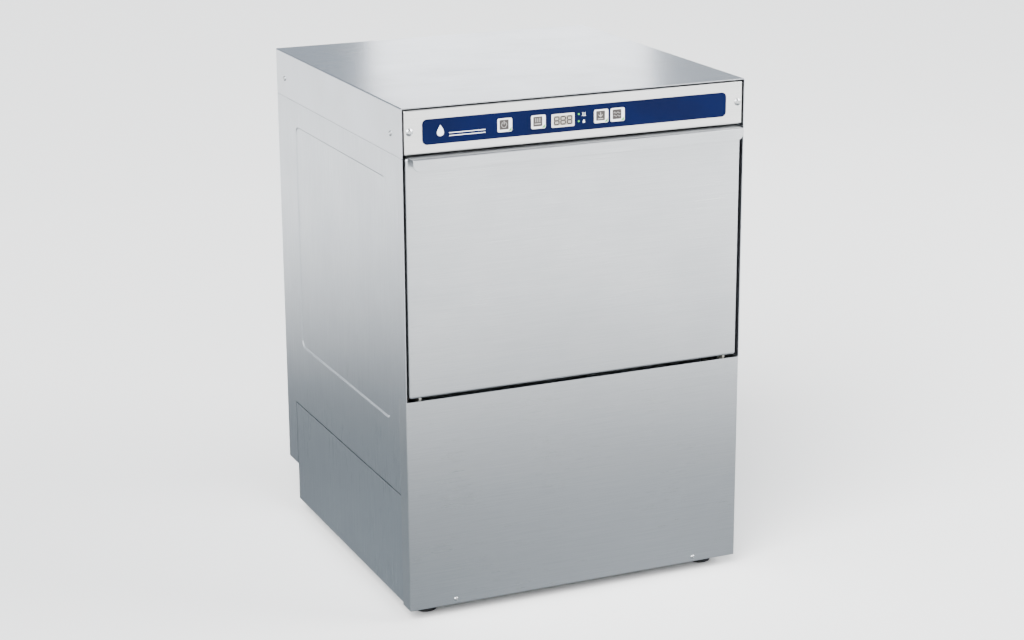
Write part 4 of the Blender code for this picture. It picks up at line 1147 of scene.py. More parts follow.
@dataclass
class Cabinet:
    """The outside of the cabinet: lid, sides, service panel, front frame and rear housing."""

    look: Finishes
    press: float = 0.0015
    press_width: float = 0.0034
    field_low: Point = (-0.223, 0.3265)
    field_high: Point = (0.220, 0.7290)
    field_radius: float = 0.015
    vent_rows: int = 2
    vent_count: int = 14
    vent_pitch: float = 0.012
    seam_screw: float = 0.0044
    seam: float = 0.0018

    def lid(self) -> None:
        """The top cover."""
        low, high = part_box("top_cover")
        sheet = FoldedSheet("top_cover_sheet", low, high, ("-Z", "-Y"), self.look.top, 0.0015)
        stand_in(sheet.make(), CABINET, "top_cover")

    def side(self, side: str, sign: int) -> None:
        """An upper side panel with its drawn field.

        Args:
            side: "left" or "right".
            sign: -1 on the left and 1 on the right.
        """
        node = f"{side}_side_panel"
        low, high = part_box(node)
        front_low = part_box("lower_front_panel")
        wrap = front_low[1].y + GAP
        step = front_low[1].z + GAP
        outline = [
            (low.y, step), (wrap, step), (wrap, low.z), (high.y, low.z), (high.y, high.z),
            (low.y, high.z),
        ]
        face = sign * max(abs(low.x), abs(high.x))
        piece = self.pressed_panel(f"{side}_side_sheet", outline, face, sign)
        stand_in(piece, CABINET, node)

    def pressed_panel(self, name: str, outline: Outline, face: float, sign: int) -> Any:
        """A flat sheet across X whose middle is drawn inwards with a soft shoulder.

        Args:
            name: the piece's name.
            outline: the sheet's edge as (y, z) points.
            face: the X of its outer face.
            sign: -1 on the left and 1 on the right.

        Returns:
            The panel.
        """
        steps = 7
        bm = bmesh.new()
        edge = [bm.verts.new((face, y, z)) for y, z in outline]
        rings = []
        for step in range(steps + 1):
            share = step / steps
            inset = self.press_width * share
            depth = self.press * (share * share * (3 - 2 * share))
            low = [value + inset for value in self.field_low]
            high = [value - inset for value in self.field_high]
            points = round_rectangle(low, high, self.field_radius - inset)
            rings.append([bm.verts.new((face - sign * depth, y, z)) for y, z in points])
        for ring, following in zip(rings, rings[1:]):
            for number in range(len(ring)):
                after = (number + 1) % len(ring)
                bm.faces.new((ring[number], ring[after], following[after], following[number]))
        bm.faces.new(rings[-1])
        border = []
        for ring in (edge, rings[0]):
            for number in range(len(ring)):
                pair = (ring[number], ring[(number + 1) % len(ring)])
                border.append(bm.edges.get(pair) or bm.edges.new(pair))
        bmesh.ops.triangle_fill(bm, edges=border, use_beauty=True, use_dissolve=False)
        for item in bm.faces:
            item.normal_update()
            if item.normal.x * sign < 0:
                item.normal_flip()
        panel = thicken(mesh_object(name, bm, self.look.side), 0.0012)
        return soften(panel, 0.00025)

    def lower_side(self, side: str, sign: int) -> None:
        """A removable lower side panel.

        Args:
            side: "left" or "right".
            sign: -1 on the left and 1 on the right.
        """
        node = f"{side}_lower_panel"
        low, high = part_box(node)
        high = high - Vector((0, 0, self.seam))
        inward = "+X" if sign < 0 else "-X"
        sides = (inward, "-Y", "+Y", "+Z")
        sheet = FoldedSheet(f"{side}_lower_sheet", low, high, sides, self.look.side)
        stand_in(sheet.make(), CABINET, node)

    def service_panel(self) -> None:
        """The lower front panel, which wraps round both corners."""
        low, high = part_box("lower_front_panel")
        sheet = FoldedSheet("service_panel_sheet", low, high, ("+Y", "+Z"), self.look.front)
        stand_in(sheet.make(), CABINET, "lower_front_panel")

    def front_frame(self) -> None:
        """The ring that the door closes on."""
        low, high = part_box("front_frame")
        arm_low, arm_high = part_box("right_hinge_arm")
        seal_low, seal_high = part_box("door_gasket")
        half = seal_high.x - 0.012
        bottom, top = seal_low.z - 0.012, seal_high.z - 0.014
        window = round_rectangle((-half, bottom), (half, top), 0.012)
        metal = self.look.chamber
        cuts = [prism("frame_window", window, Axis.Y, low.y - 0.01, 0.0, metal)]
        for sign in (-1, 1):
            near, far = sorted((sign * (arm_low.x - 0.005), sign * (arm_high.x + 0.0145)))
            corner = (near, low.y - 0.01, low.z - 0.01)
            top_corner = (far, high.y + 0.01, arm_low.z + 0.084)
            cuts.append(block("frame_notch", corner, top_corner, metal))
        sheet = FoldedSheet("front_frame_sheet", low, high, ("+Y", "-Z"), metal, cuts=cuts)
        stand_in(sheet.make(), CABINET, "front_frame")

    def rear(self) -> None:
        """The rear housing, with rows of vent slots."""
        low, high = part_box("rear_cover")
        places = []
        for row in range(self.vent_rows):
            for number in range(self.vent_count):
                x = (row - (self.vent_rows - 1) / 2) * 0.190
                z = low.z + 0.060 + number * self.vent_pitch
                places.append(Place((x, high.y, z), (0, 1, 0)))
        slots = SlotRow("rear_vents", tuple(places), 0.120, 0.0042).make(self.look.side)
        sides = ("-Y", "+Z", "-Z")
        sheet = FoldedSheet("rear_housing_sheet", low, high, sides, self.look.side, cuts=[slots])
        stand_in(sheet.make(), CABINET, "rear_cover")

    def screws(self) -> None:
        """The screws that show on the cabinet."""
        low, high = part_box("top_cover")
        seam = low.z + 0.032
        places = []
        for sign in (-1, 1):
            for y in (low.y + 0.047, high.y - 0.045):
                places.append(Place((sign * high.x, y, seam), (sign, 0, 0), (0, 0.3, 1)))
        cover = ScrewSet("top_cover_screws", tuple(places), self.seam_screw)
        stand_in(cover.make(self.look.screw), CABINET)
        panel_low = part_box("lower_front_panel")[0]
        lower = []
        for sign in (-1, 1):
            point = (sign * 0.219, panel_low.y, panel_low.z + 0.009)
            lower.append(Place(point, (0, -1, 0), (1, 0, 0.4 * sign)))
        service = ScrewSet("service_panel_screws", tuple(lower), 0.0036, 0.0020)
        stand_in(service.make(self.look.screw), CABINET)
        back_low, back_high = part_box("rear_cover")
        rear = []
        for sign in (-1, 1):
            for number in range(4):
                z = back_low.z + 0.050 + number * (back_high.z - back_low.z - 0.100) / 3
                rear.append(Place((sign * 0.286, back_high.y, z), (0, 1, 0), (1, 0, 0.5)))
        housing = ScrewSet("rear_housing_screws", tuple(rear), self.seam_screw)
        stand_in(housing.make(self.look.screw), CABINET)

    def dress(self) -> None:
        """Finishes the hidden frame parts that keep their CAD shape."""
        for node in ("base_tray", "connection_plate", "left_support_frame", "right_support_frame"):
            dress(node, self.look.zinc)

    def build(self) -> None:
        """Makes the whole cabinet."""
        self.lid()
        for side, sign in SIDES:
            self.side(side, sign)
            self.lower_side(side, sign)
        self.service_panel()
        self.front_frame()
        self.rear()
        self.screws()
        self.dress()


@dataclass
class ControlPanel:
    """The control strip: fascia, printed film, four keys, a display and the board behind."""

    look: Finishes
    groove: float = 0.0024
    key_radius: float = 0.0026
    key_clear: float = 0.0005
    print_height: float = 0.00008
    digit_height: float = 0.0122
    digit_width: float = 0.0078
    digit_pitch: float = 0.0112
    stroke: float = 0.0023
    lamp_x: float = 0.0004
    lamp_upper: float = 0.8165
    lamp_lower: float = 0.8050

    def key_box(self, number: int) -> tuple[Vector, Vector]:
        """The cap of a key: its flange behind the fascia is larger and is left out.

        Args:
            number: the key, from 1 on the left.

        Returns:
            The lowest and highest corner.
        """
        low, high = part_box(f"button_{number}")
        flange_x, flange_z = 0.00155, 0.00175
        inner = Vector((flange_x, 0, flange_z))
        return low + inner, high - inner

    def openings(self, start: float, end: float) -> list[Any]:
        """The tools that cut the keys' and the display's holes.

        Args:
            start: the Y where the tools begin.
            end: the Y where they end.

        Returns:
            The tools.
        """
        tools = []
        for number in range(1, 5):
            low, high = self.key_box(number)
            grow = self.key_clear
            lower = (low.x - grow, low.z - grow)
            upper = (high.x + grow, high.z + grow)
            outline = round_rectangle(lower, upper, self.key_radius + grow)
            tools.append(prism("key_hole", outline, Axis.Y, start, end, self.look.black))
        low, high = self.window_box()
        outline = round_rectangle((low[0] - GAP, low[1] - GAP), (high[0] + GAP, high[1] + GAP), 0.0023)
        tools.append(prism("display_hole", outline, Axis.Y, start, end, self.look.black))
        return tools

    def window_box(self) -> tuple[tuple[float, float], tuple[float, float]]:
        """The (x, z) corners of the display's window."""
        low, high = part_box("display_module")
        half_x, half_z = 0.020, 0.01075
        middle_x, middle_z = (low.x + high.x) / 2, high.z - 0.014
        return (middle_x - half_x, middle_z - half_z), (middle_x + half_x, middle_z + half_z)

    def fascia(self) -> None:
        """The folded front of the panel."""
        low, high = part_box("control_fascia")
        cuts = self.openings(low.y - 0.01, low.y + 0.004)
        inset = Vector((self.groove, 0, 0))
        low, high = low + inset, high - inset - Vector((0, 0, self.groove))
        sheet = FoldedSheet("control_fascia_sheet", low, high, ("+Y",), self.look.fascia, cuts=cuts)
        stand_in(sheet.make(), CABINET, "control_fascia")
        height = low.z + 0.036
        places = []
        for sign in (-1, 1):
            point = (sign * 0.2868, low.y, height)
            places.append(Place(point, (0, -1, 0), (1, 0, 0.35)))
        screws = ScrewSet("fascia_screws", tuple(places), 0.0059, 0.0030, Recess.HEXAGON)
        stand_in(screws.make(self.look.screw), CABINET)

    def film(self) -> None:
        """The blue film with its holes."""
        low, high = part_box("control_membrane")
        outline = round_rectangle((low.x, low.z), (high.x, high.z), 0.008, 12)
        piece = prism("control_film", outline, Axis.Y, low.y, high.y, self.look.film)
        for tool in self.openings(low.y - 0.01, high.y + 0.01):
            boolean(piece, tool)
        stand_in(soften(piece, 0.00018), CABINET, "control_membrane")

    def printed(self, name: str, outlines: Sequence[Outline], face: float, material: Any) -> Any:
        """A flat print of some outlines on a face across Y.

        Args:
            name: the piece's name.
            outlines: the marks as (x, z) points.
            face: the Y of the face.
            material: the ink.

        Returns:
            The print.
        """
        shapes = []
        for outline in outlines:
            shapes.append(prism("ink", outline, Axis.Y, face - self.print_height, face, material))
        return joined(name, shapes)

    def stroke_outline(self, start: Point, end: Point, width: float) -> Outline:
        """A straight line with round ends as an outline.

        Args:
            start: where the line begins.
            end: where it ends.
            width: its width.

        Returns:
            The outline.
        """
        heading = math.atan2(end[1] - start[1], end[0] - start[0])
        outline = []
        for centre, turn in ((end, -math.pi / 2), (start, math.pi / 2)):
            for step in range(9):
                angle = heading + turn + math.pi * step / 8
                x = centre[0] + width / 2 * math.cos(angle)
                outline.append((x, centre[1] + width / 2 * math.sin(angle)))
        return outline

    def film_marks(self) -> None:
        """White marks on the film: a water drop with a line, and two small pictograms."""
        low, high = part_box("control_membrane")
        face = low.y
        marks = [self.drop((low.x + 0.030, (low.z + high.z) / 2 + 0.001), 0.0088)]
        for offset in (-0.0040, -0.0085):
            start = (low.x + 0.045, (low.z + high.z) / 2 + offset)
            marks.append(self.stroke_outline(start, (start[0] + 0.060, start[1]), 0.0011))
        upper, lower = self.lamp_upper, self.lamp_lower
        icon_x = self.lamp_x + 0.0090
        for number in range(3):
            x = icon_x - 0.0022 + number * 0.0022
            marks.append(self.stroke_outline((x, upper - 0.0018), (x, upper + 0.0020), 0.0007))
        plate = (icon_x - 0.0034, upper - 0.0034), (icon_x + 0.0034, upper - 0.0026)
        marks.append(round_rectangle(*plate, 0.0003))
        marks.append(self.drop((icon_x, lower - 0.0004), 0.0030))
        piece = self.printed("film_print", marks, face, self.look.white_ink)
        stand_in(piece, CABINET)
        lamps = []
        for z in (upper, lower):
            outline = circle((self.lamp_x, z), 0.0015, 24)
            lamps.append(prism("lamp", outline, Axis.Y, face - 0.0003, face + 0.0002, self.look.lamp))
        lights = soften(joined("status_lamps", lamps), 0.0001)
        stand_in(lights, CABINET)

    def drop(self, centre: Point, size: float) -> Outline:
        """The outline of a water drop, round below and pointed above.

        Args:
            centre: its middle.
            size: half its height.

        Returns:
            The outline.
        """
        outline = []
        for step in range(36):
            angle = math.tau * step / 36
            pinch = 0.90 * math.sin(angle / 2) ** 1.3
            x = size * pinch * math.sin(angle)
            outline.append((centre[0] + x, centre[1] + size * math.cos(angle)))
        return outline

    def keys(self) -> None:
        """The four push keys with their marks and lamps."""
        for number in range(1, 5):
            low, high = self.key_box(number)
            name = f"button_{number}"
            outline = round_rectangle((low.x, low.z), (high.x, high.z), self.key_radius)
            cap = prism("cap", outline, Axis.Y, low.y, low.y + 0.0044, self.look.key)
            soften(cap, 0.0006, 4)
            full_low, full_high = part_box(name)
            lower = (full_low.x, low.y + 0.0040, full_low.z)
            upper = (full_high.x, low.y + 0.0054, full_high.z)
            flange = soften(block("flange", lower, upper, self.look.key), 0.0003)
            middle = ((low.x + high.x) / 2, (low.z + high.z) / 2)
            stem = prism("stem", circle(middle, 0.004), Axis.Y, low.y + 0.0052, full_high.y, self.look.key)
            body = joined(f"{name}_key", [cap, flange, stem])
            stand_in(body, name, name)
            self.key_marks(number, low, high)

    def key_marks(self, number: int, low: Vector, high: Vector) -> None:
        """A key's dark mark, toward its upper left, and its green corner lamp.

        Args:
            number: the key, from 1 on the left.
            low: the cap's lowest corner.
            high: its highest corner.
        """
        face = low.y
        middle_x, middle_z = (low.x + high.x) / 2 - 0.0016, (low.z + high.z) / 2 + 0.0010
        half = 0.0070
        signs = {1: self.ring_sign, 2: self.plate_sign, 3: self.arrow_sign, 4: self.wave_sign}
        name = f"button_{number}"
        reach = half + 0.0008
        corners = (middle_x - reach, middle_z - reach), (middle_x + reach, middle_z + reach)
        ground = [round_rectangle(*corners, 0.0014)]
        ink = self.printed(f"{name}_mark", ground, face, self.look.grey_ink)
        outlines = self.strokes(middle_x, middle_z, half, signs[number]())
        sign = self.printed(f"{name}_sign", outlines, face - self.print_height, self.look.sign_ink)
        for print_layer in (ink, sign):
            stand_in(print_layer, name)
        edge, reach = 0.0013, 0.0056
        corner = (high.x - edge, low.z + edge)
        triangle = [corner, (corner[0], corner[1] + reach), (corner[0] - reach, corner[1])]
        lamp = prism(f"{name}_lamp", triangle, Axis.Y, face - 0.0002, face + 0.0002, self.look.lamp)
        stand_in(soften(lamp, 0.00008), name)

    def strokes(self, x: float, z: float, half: float, lines: Sequence[Stroke]) -> list[Outline]:
        """Turns a mark's strokes into outlines.

        Args:
            x: the mark's middle.
            z: the mark's middle.
            half: half the mark's height.
            lines: each stroke's start and end as shares of half, and its width in metres.

        Returns:
            The outlines.
        """
        marks = []
        for start_x, start_z, end_x, end_z, width in lines:
            start = (x + start_x * half, z + start_z * half)
            marks.append(self.stroke_outline(start, (x + end_x * half, z + end_z * half), width))
        return marks

    def ring_sign(self) -> list[Stroke]:
        """The power mark: a broken ring with a stroke."""
        angles = [math.radians(125 + 290 * step / 12) for step in range(13)]
        ring = [(0.62 * math.cos(angle), 0.62 * math.sin(angle) - 0.05) for angle in angles]
        return [(0.0, 0.1, 0.0, 0.85, 0.0010)] + [(*a, *b, 0.0009) for a, b in zip(ring, ring[1:])]

    def plate_sign(self) -> list[Stroke]:
        """The wash mark: a plate under three jets."""
        jets = [(0.5 * number, 0.7, 0.5 * number, -0.1, 0.0009) for number in (-1, 0, 1)]
        return [(-0.7, -0.55, 0.7, -0.55, 0.0012)] + jets

    def arrow_sign(self) -> list[Stroke]:
        """The drain mark: an arrow down to a line."""
        head = [(sign * 0.45, 0.2, 0.0, -0.3, 0.0011) for sign in (-1, 1)]
        return [(0.0, 0.7, 0.0, -0.2, 0.0011)] + head + [(-0.6, -0.7, 0.6, -0.7, 0.0010)]

    def wave_sign(self) -> list[Stroke]:
        """The rinse mark: two waves."""
        lines = []
        for level in (-0.35, 0.35):
            shares = [step / 12 * 2 - 1 for step in range(13)]
            wave = [(share * 0.75, level + 0.18 * math.sin(share * math.tau)) for share in shares]
            lines += [(*a, *b, 0.0010) for a, b in zip(wave, wave[1:])]
        return lines

    def display(self) -> None:
        """The display: a silver window with three seven-segment digits."""
        (x0, z0), (x1, z1) = self.window_box()
        low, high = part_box("display_module")
        face = low.y
        outline = round_rectangle((x0, z0), (x1, z1), 0.002)
        window = soften(prism("window", outline, Axis.Y, face, face + 0.0049, self.look.bezel), 0.0004, 3)
        back_low = (low.x, face + 0.0046, low.z)
        back = soften(block("back", back_low, high, self.look.black), 0.0005)
        ground_outline = round_rectangle((x0 + 0.0035, z0 + 0.0030), (x1 - 0.0035, z1 - 0.0030), 0.001)
        ground = prism("ground", ground_outline, Axis.Y, face - 0.00005, face + 0.0001, self.look.lcd)
        stand_in(joined("display_unit", [window, back, ground]), CABINET, "display_module")
        marks: list[Outline] = []
        middle = (z0 + z1) / 2
        for number in (-1, 0, 1):
            marks += self.digit((x0 + x1) / 2 + number * self.digit_pitch, middle)
        digits = self.printed("display_digits", marks, face - 0.00005, self.look.digit_ink)
        stand_in(digits, CABINET)

    def digit(self, x: float, z: float) -> list[Outline]:
        """The seven strokes of a digit.

        Args:
            x: its middle.
            z: its middle.

        Returns:
            The outlines of the strokes.
        """
        half_x, half_z = self.digit_width / 2, self.digit_height / 2
        gap = self.stroke * 0.62
        ring = [(-half_x, half_z), (half_x, half_z), (half_x, 0)]
        ring += [(half_x, -half_z), (-half_x, -half_z), (-half_x, 0)]
        marks = []
        for (ax, az), (bx, bz) in list(zip(ring, ring[1:] + ring[:1])) + [(ring[5], ring[2])]:
            length = math.dist((ax, az), (bx, bz))
            ux, uz = (bx - ax) / length * gap, (bz - az) / length * gap
            start, end = (x + ax + ux, z + az + uz), (x + bx - ux, z + bz - uz)
            marks.append(self.stroke_outline(start, end, self.stroke))
        return marks

    def build(self) -> None:
        """Makes the whole control strip."""
        self.fascia()
        self.film()
        self.film_marks()
        self.keys()
        self.display()
        dress("control_board", self.look.board)


@dataclass
class Door:
    """The drop-down door: skin, liner, handle and the seal that it meets."""

    look: Finishes
    fold: float = 0.004
    field_drawn: float = 0.006
    field_radius: float = 0.020
    handle_corner: float = 0.012

    def notches(self, obj_low: Vector, start: float) -> list[Any]:
        """The tools that clear the levers and the brackets.

        Args:
            obj_low: the lowest corner of the panel that is cut.
            start: the Y where the cuts begin.

        Returns:
            The tools.
        """
        arm_low, arm_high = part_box("right_hinge_arm")
        top = middle_of("right_hinge_pin")[2] + 0.014
        tools = []
        for sign in (-1, 1):
            near, far = sorted((sign * (arm_low.x - 0.003), sign * (arm_high.x + 0.0135)))
            corner = (near, start, obj_low.z - 0.01)
            tools.append(block("door_notch", corner, (far, 0.0, top), self.look.front))
        return tools

    def skin(self) -> None:
        """The outer panel."""
        low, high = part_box("door_outer_panel")
        cuts = self.notches(low, low.y + 0.0045)
        sheet = FoldedSheet(
            "door_skin", low, high, ("+Y",), self.look.front, fold=self.fold, segments=7, cuts=cuts
        )
        stand_in(sheet.make(), DOOR, "door_outer_panel")

    def liner(self) -> None:
        """The inner panel with its drawn field."""
        low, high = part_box("door_inner_panel")
        face = high.y - self.field_drawn
        metal = self.look.liner
        inset_x, inset_low, inset_high = 0.0565, 0.0415, 0.0395
        lower = (low.x + inset_x, low.z + inset_low)
        upper = (high.x - inset_x, high.z - inset_high)
        wall = 0.0012
        outline = round_rectangle(lower, upper, self.field_radius, 12)
        field_shape = prism("field", outline, Axis.Y, face - wall / 2, high.y, metal)
        lower = [value + wall for value in lower]
        upper = [value - wall for value in upper]
        outline = round_rectangle(lower, upper, self.field_radius - wall, 12)
        hollow = prism("hollow", outline, Axis.Y, face - 0.003, high.y - wall, metal)
        shell_high = (high.x, face, high.z)
        cuts = [hollow] + self.notches(low, low.y - 0.03)
        sheet = FoldedSheet(
            "door_liner", low, shell_high, ("-Y",), metal, fold=self.fold, additions=[field_shape], cuts=cuts
        )
        stand_in(sheet.make(), DOOR, "door_inner_panel")

    def handle(self) -> None:
        """The folded grip: a flange, a top and a lip with round lower corners."""
        low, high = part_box("door_handle")
        wall = 0.0015
        bend = 0.0030
        section = self.handle_section(low.y, high.y, low.z, high.z, bend, wall)
        piece = prism("grip", section, Axis.X, low.x, high.x, self.look.front)
        for sign in (-1, 1):
            x = sign * high.x
            outline = []
            for step in range(13):
                angle = math.pi / 2 * step / 12
                across = x - sign * self.handle_corner * (1 - math.sin(angle))
                outline.append((across, low.z + self.handle_corner * (1 - math.cos(angle))))
            outline.append((x + sign * 0.002, low.z + self.handle_corner))
            outline.append((x + sign * 0.002, low.z - 0.002))
            outline.append((x - sign * self.handle_corner, low.z - 0.002))
            tool = prism("corner", outline, Axis.Y, low.y - 0.002, low.y + 0.010, self.look.front)
            boolean(piece, tool)
        piece.name = "door_handle_sheet"
        stand_in(soften(piece, 0.0003), DOOR, "door_handle")

    def handle_section(
        self, front: float, back: float, bottom: float, top: float, bend: float, wall: float
    ) -> Outline:
        """The (y, z) section of the grip, with a round outer and inner bend.

        Args:
            front: the Y of its face.
            back: the Y of the flange's edge.
            bottom: the Z of the lip.
            top: the Z of its top.
            bend: the outer radius of the bend.
            wall: the sheet's gauge.

        Returns:
            The section.
        """
        centre = (front + bend, top - bend)
        section = [(front, bottom)]
        for step in range(9):
            angle = math.pi - math.pi / 2 * step / 8
            section.append((centre[0] + bend * math.cos(angle), centre[1] + bend * math.sin(angle)))
        section += [(back, top), (back, top - wall)]
        inner = bend - wall
        for step in range(9):
            angle = math.pi / 2 + math.pi / 2 * step / 8
            section.append((centre[0] + inner * math.cos(angle), centre[1] + inner * math.sin(angle)))
        section.append((front + wall, bottom))
        return section

    def seal(self) -> None:
        """The rubber section round the opening, with a rounded bead."""
        low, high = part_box("door_gasket")
        width = 0.008
        radius = (high.y - low.y) / 2
        outer = round_rectangle((low.x, low.z - 0.05), (high.x, high.z), 0.016, 8)
        inner = round_rectangle(
            (low.x + width, low.z - 0.04), (high.x - width, high.z - width), 0.008, 8
        )
        ring = prism("door_seal", outer, Axis.Y, low.y, high.y, self.look.rubber)
        boolean(ring, prism("seal_hole", inner, Axis.Y, low.y - 0.01, high.y + 0.01, self.look.rubber))
        corner = (low.x - 0.01, low.y - 0.01, low.z - 0.10)
        boolean(ring, block("seal_end", corner, (high.x + 0.01, high.y + 0.01, low.z), self.look.rubber))
        soften(ring, radius * 0.55, 4)
        stand_in(ring, CABINET, "door_gasket")

    def build(self) -> None:
        """Makes the door."""
        self.skin()
        self.liner()
        self.handle()
        self.seal()


@dataclass
class Feet:
    """Four screw-in feet: a round pad with a neck, and a threaded stud."""

    look: Finishes

    def build(self) -> None:
        """Makes each foot on its own body."""
        for name in ("front_left_foot", "rear_left_foot", "rear_right_foot", "front_right_foot"):
            low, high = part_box(name)
            radius = (high.x - low.x) / 2
            origin = ((low.x + high.x) / 2, (low.y + high.y) / 2, low.z)
            pad = [
                (0, 0), (0, radius - 0.0030), (0.0006, radius - 0.0012), (0.0020, radius - 0.0002),
                (0.0075, radius - 0.0002), (0.0090, radius - 0.0016), (0.0125, 0.0112),
                (0.0212, 0.0110), (0.0212, 0.0046), (0.0212, 0),
            ]
            stud = [(0.0208, 0), (0.0208, 0.0049)]
            turns = 19
            pitch = (high.z - 0.0225) / turns
            for turn in range(turns):
                start = 0.0215 + turn * pitch
                stud += [(start, 0.0043), (start + pitch / 2, 0.0049)]
            stud += [(high.z, 0.0040), (high.z, 0)]
            parts = [
                lathe("pad", pad, origin, Axis.Z, self.look.black, 48),
                lathe("stud", stud, origin, Axis.Z, self.look.screw, 32, 0.0),
            ]
            stand_in(joined(name + "_turned", parts), name, name)


@dataclass
class HingeGear:
    """The door's balance gear: arms in the door, fixed brackets, shouldered pins and springs."""

    look: Finishes
    lever: float = 0.060
    pin_radius: float = 0.005
    eye_radius: float = 0.0035
    wire: float = 0.0016
    coil_radius: float = 0.0062
    coils: int = 46
    bend_length: float = 0.130
    foot_back: float = 0.072
    foot_height: float = 0.036

    def pivot(self) -> tuple[float, float]:
        """The hinge axis as (y, z)."""
        return middle_of("right_hinge_pin")[1:]

    def arm(self, side: str) -> None:
        """The flat arm with its pivot hole and the spring's eye.

        Args:
            side: "left" or "right".
        """
        node = f"{side}_hinge_arm"
        low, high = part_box(node)
        y, z = self.pivot()
        radius = (high.y - low.y) / 2
        outline = []
        for centre, turn in ((high.z - radius, 0.0), (low.z + radius, math.pi)):
            for step in range(17):
                angle = turn + math.pi * step / 16
                outline.append((y + radius * math.cos(angle), centre + radius * math.sin(angle)))
        arm = prism(f"{side}_door_arm", outline, Axis.X, low.x, high.x, self.look.zinc)
        for place, hole in ((z, self.pin_radius + 0.0004), (z - self.lever, self.eye_radius)):
            drill(arm, (y, place), hole, Axis.X, low.x - 0.01, high.x + 0.01)
        stand_in(soften(arm, 0.0003), DOOR, node)

    def bracket(self, side: str) -> None:
        """The fixed plate under the pin, with a round nose.

        Args:
            side: "left" or "right".
        """
        node = f"{side}_hinge_bracket"
        low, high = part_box(node)
        y, z = self.pivot()
        nose = high.z - z
        outline = [(y - 0.0055, z + nose), (high.y, z + nose), (high.y, low.z), (high.y - 0.018, low.z)]
        outline += [(high.y - 0.018, z - 0.050), (y + 0.0155, z - nose), (y - 0.0050, z - 0.0068)]
        for step in range(1, 8):
            angle = math.radians(232 - 104 * step / 8)
            outline.append((y - 0.0015 + 0.0080 * math.cos(angle), z + 0.0078 * math.sin(angle)))
        plate = prism(f"{side}_pin_bracket", outline, Axis.X, low.x, high.x, self.look.zinc)
        drill(plate, (y, z), self.pin_radius + GAP, Axis.X, low.x - 0.01, high.x + 0.01)
        stand_in(soften(plate, 0.0003), CABINET, node)

    def pin(self, side: str, sign: int) -> None:
        """The shouldered pin.

        Args:
            side: "left" or "right".
            sign: -1 on the left and 1 on the right.
        """
        node = f"{side}_hinge_pin"
        low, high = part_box(node)
        y, z = self.pivot()
        length = high.x - low.x
        head = 0.003
        profile = [
            (0, 0), (0, self.pin_radius), (length - head, self.pin_radius), (length - head, 0.0075),
            (length, 0.0075), (length, 0),
        ]
        start = low.x if sign > 0 else high.x
        profile = [(along * sign, radius) for along, radius in profile]
        turned = lathe(f"{side}_pin", profile, (start, y, z), Axis.X, self.look.screw, 40)
        stand_in(turned, CABINET, node)

    def spring(self, side: str) -> None:
        """The extension spring, wound by rule, with a straight hook at each end.

        A spring stays straight, and this one bows by about 39 mm each way when the door is open. Over 60 mm,
        or over its whole length, it bows more.

        Args:
            side: "left" or "right".
        """
        node = f"{side}_door_spring"
        x = middle_of(node)[0]
        y, z = self.pivot()
        top = Vector((x, y + 0.0020, z - self.lever - 0.0090))
        bottom = Vector((x, y + self.foot_back, self.foot_height))
        ahead = (bottom - top).normalized()
        length = (bottom - top).length
        start, end = 0.018, length - 0.058
        steps = self.coils * 14
        path = [(0.0, 0.0, 0.0), (0.0, 0.0, start - 0.004)]
        for step in range(steps + 1):
            share = step / steps
            angle = math.tau * self.coils * share
            ease = min(1.0, share * self.coils, (1 - share) * self.coils)
            radius = self.coil_radius * ease
            path.append((radius * math.cos(angle), radius * math.sin(angle), start + (end - start) * share))
        path += [(0.0, 0.0, end + 0.004), (0.0, 0.0, length)]
        turn = Vector((0, 0, 1)).rotation_difference(ahead)
        points = [top + turn @ Vector(point) for point in path]
        coil = bar(f"{side}_balance_spring", points, self.wire / 2, self.look.zinc, 2)
        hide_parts(node)
        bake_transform(coil)

    def build(self) -> None:
        """Makes both sides."""
        for side, sign in SIDES:
            self.arm(side)
            self.bracket(side)
            self.pin(side, sign)
            self.spring(side)


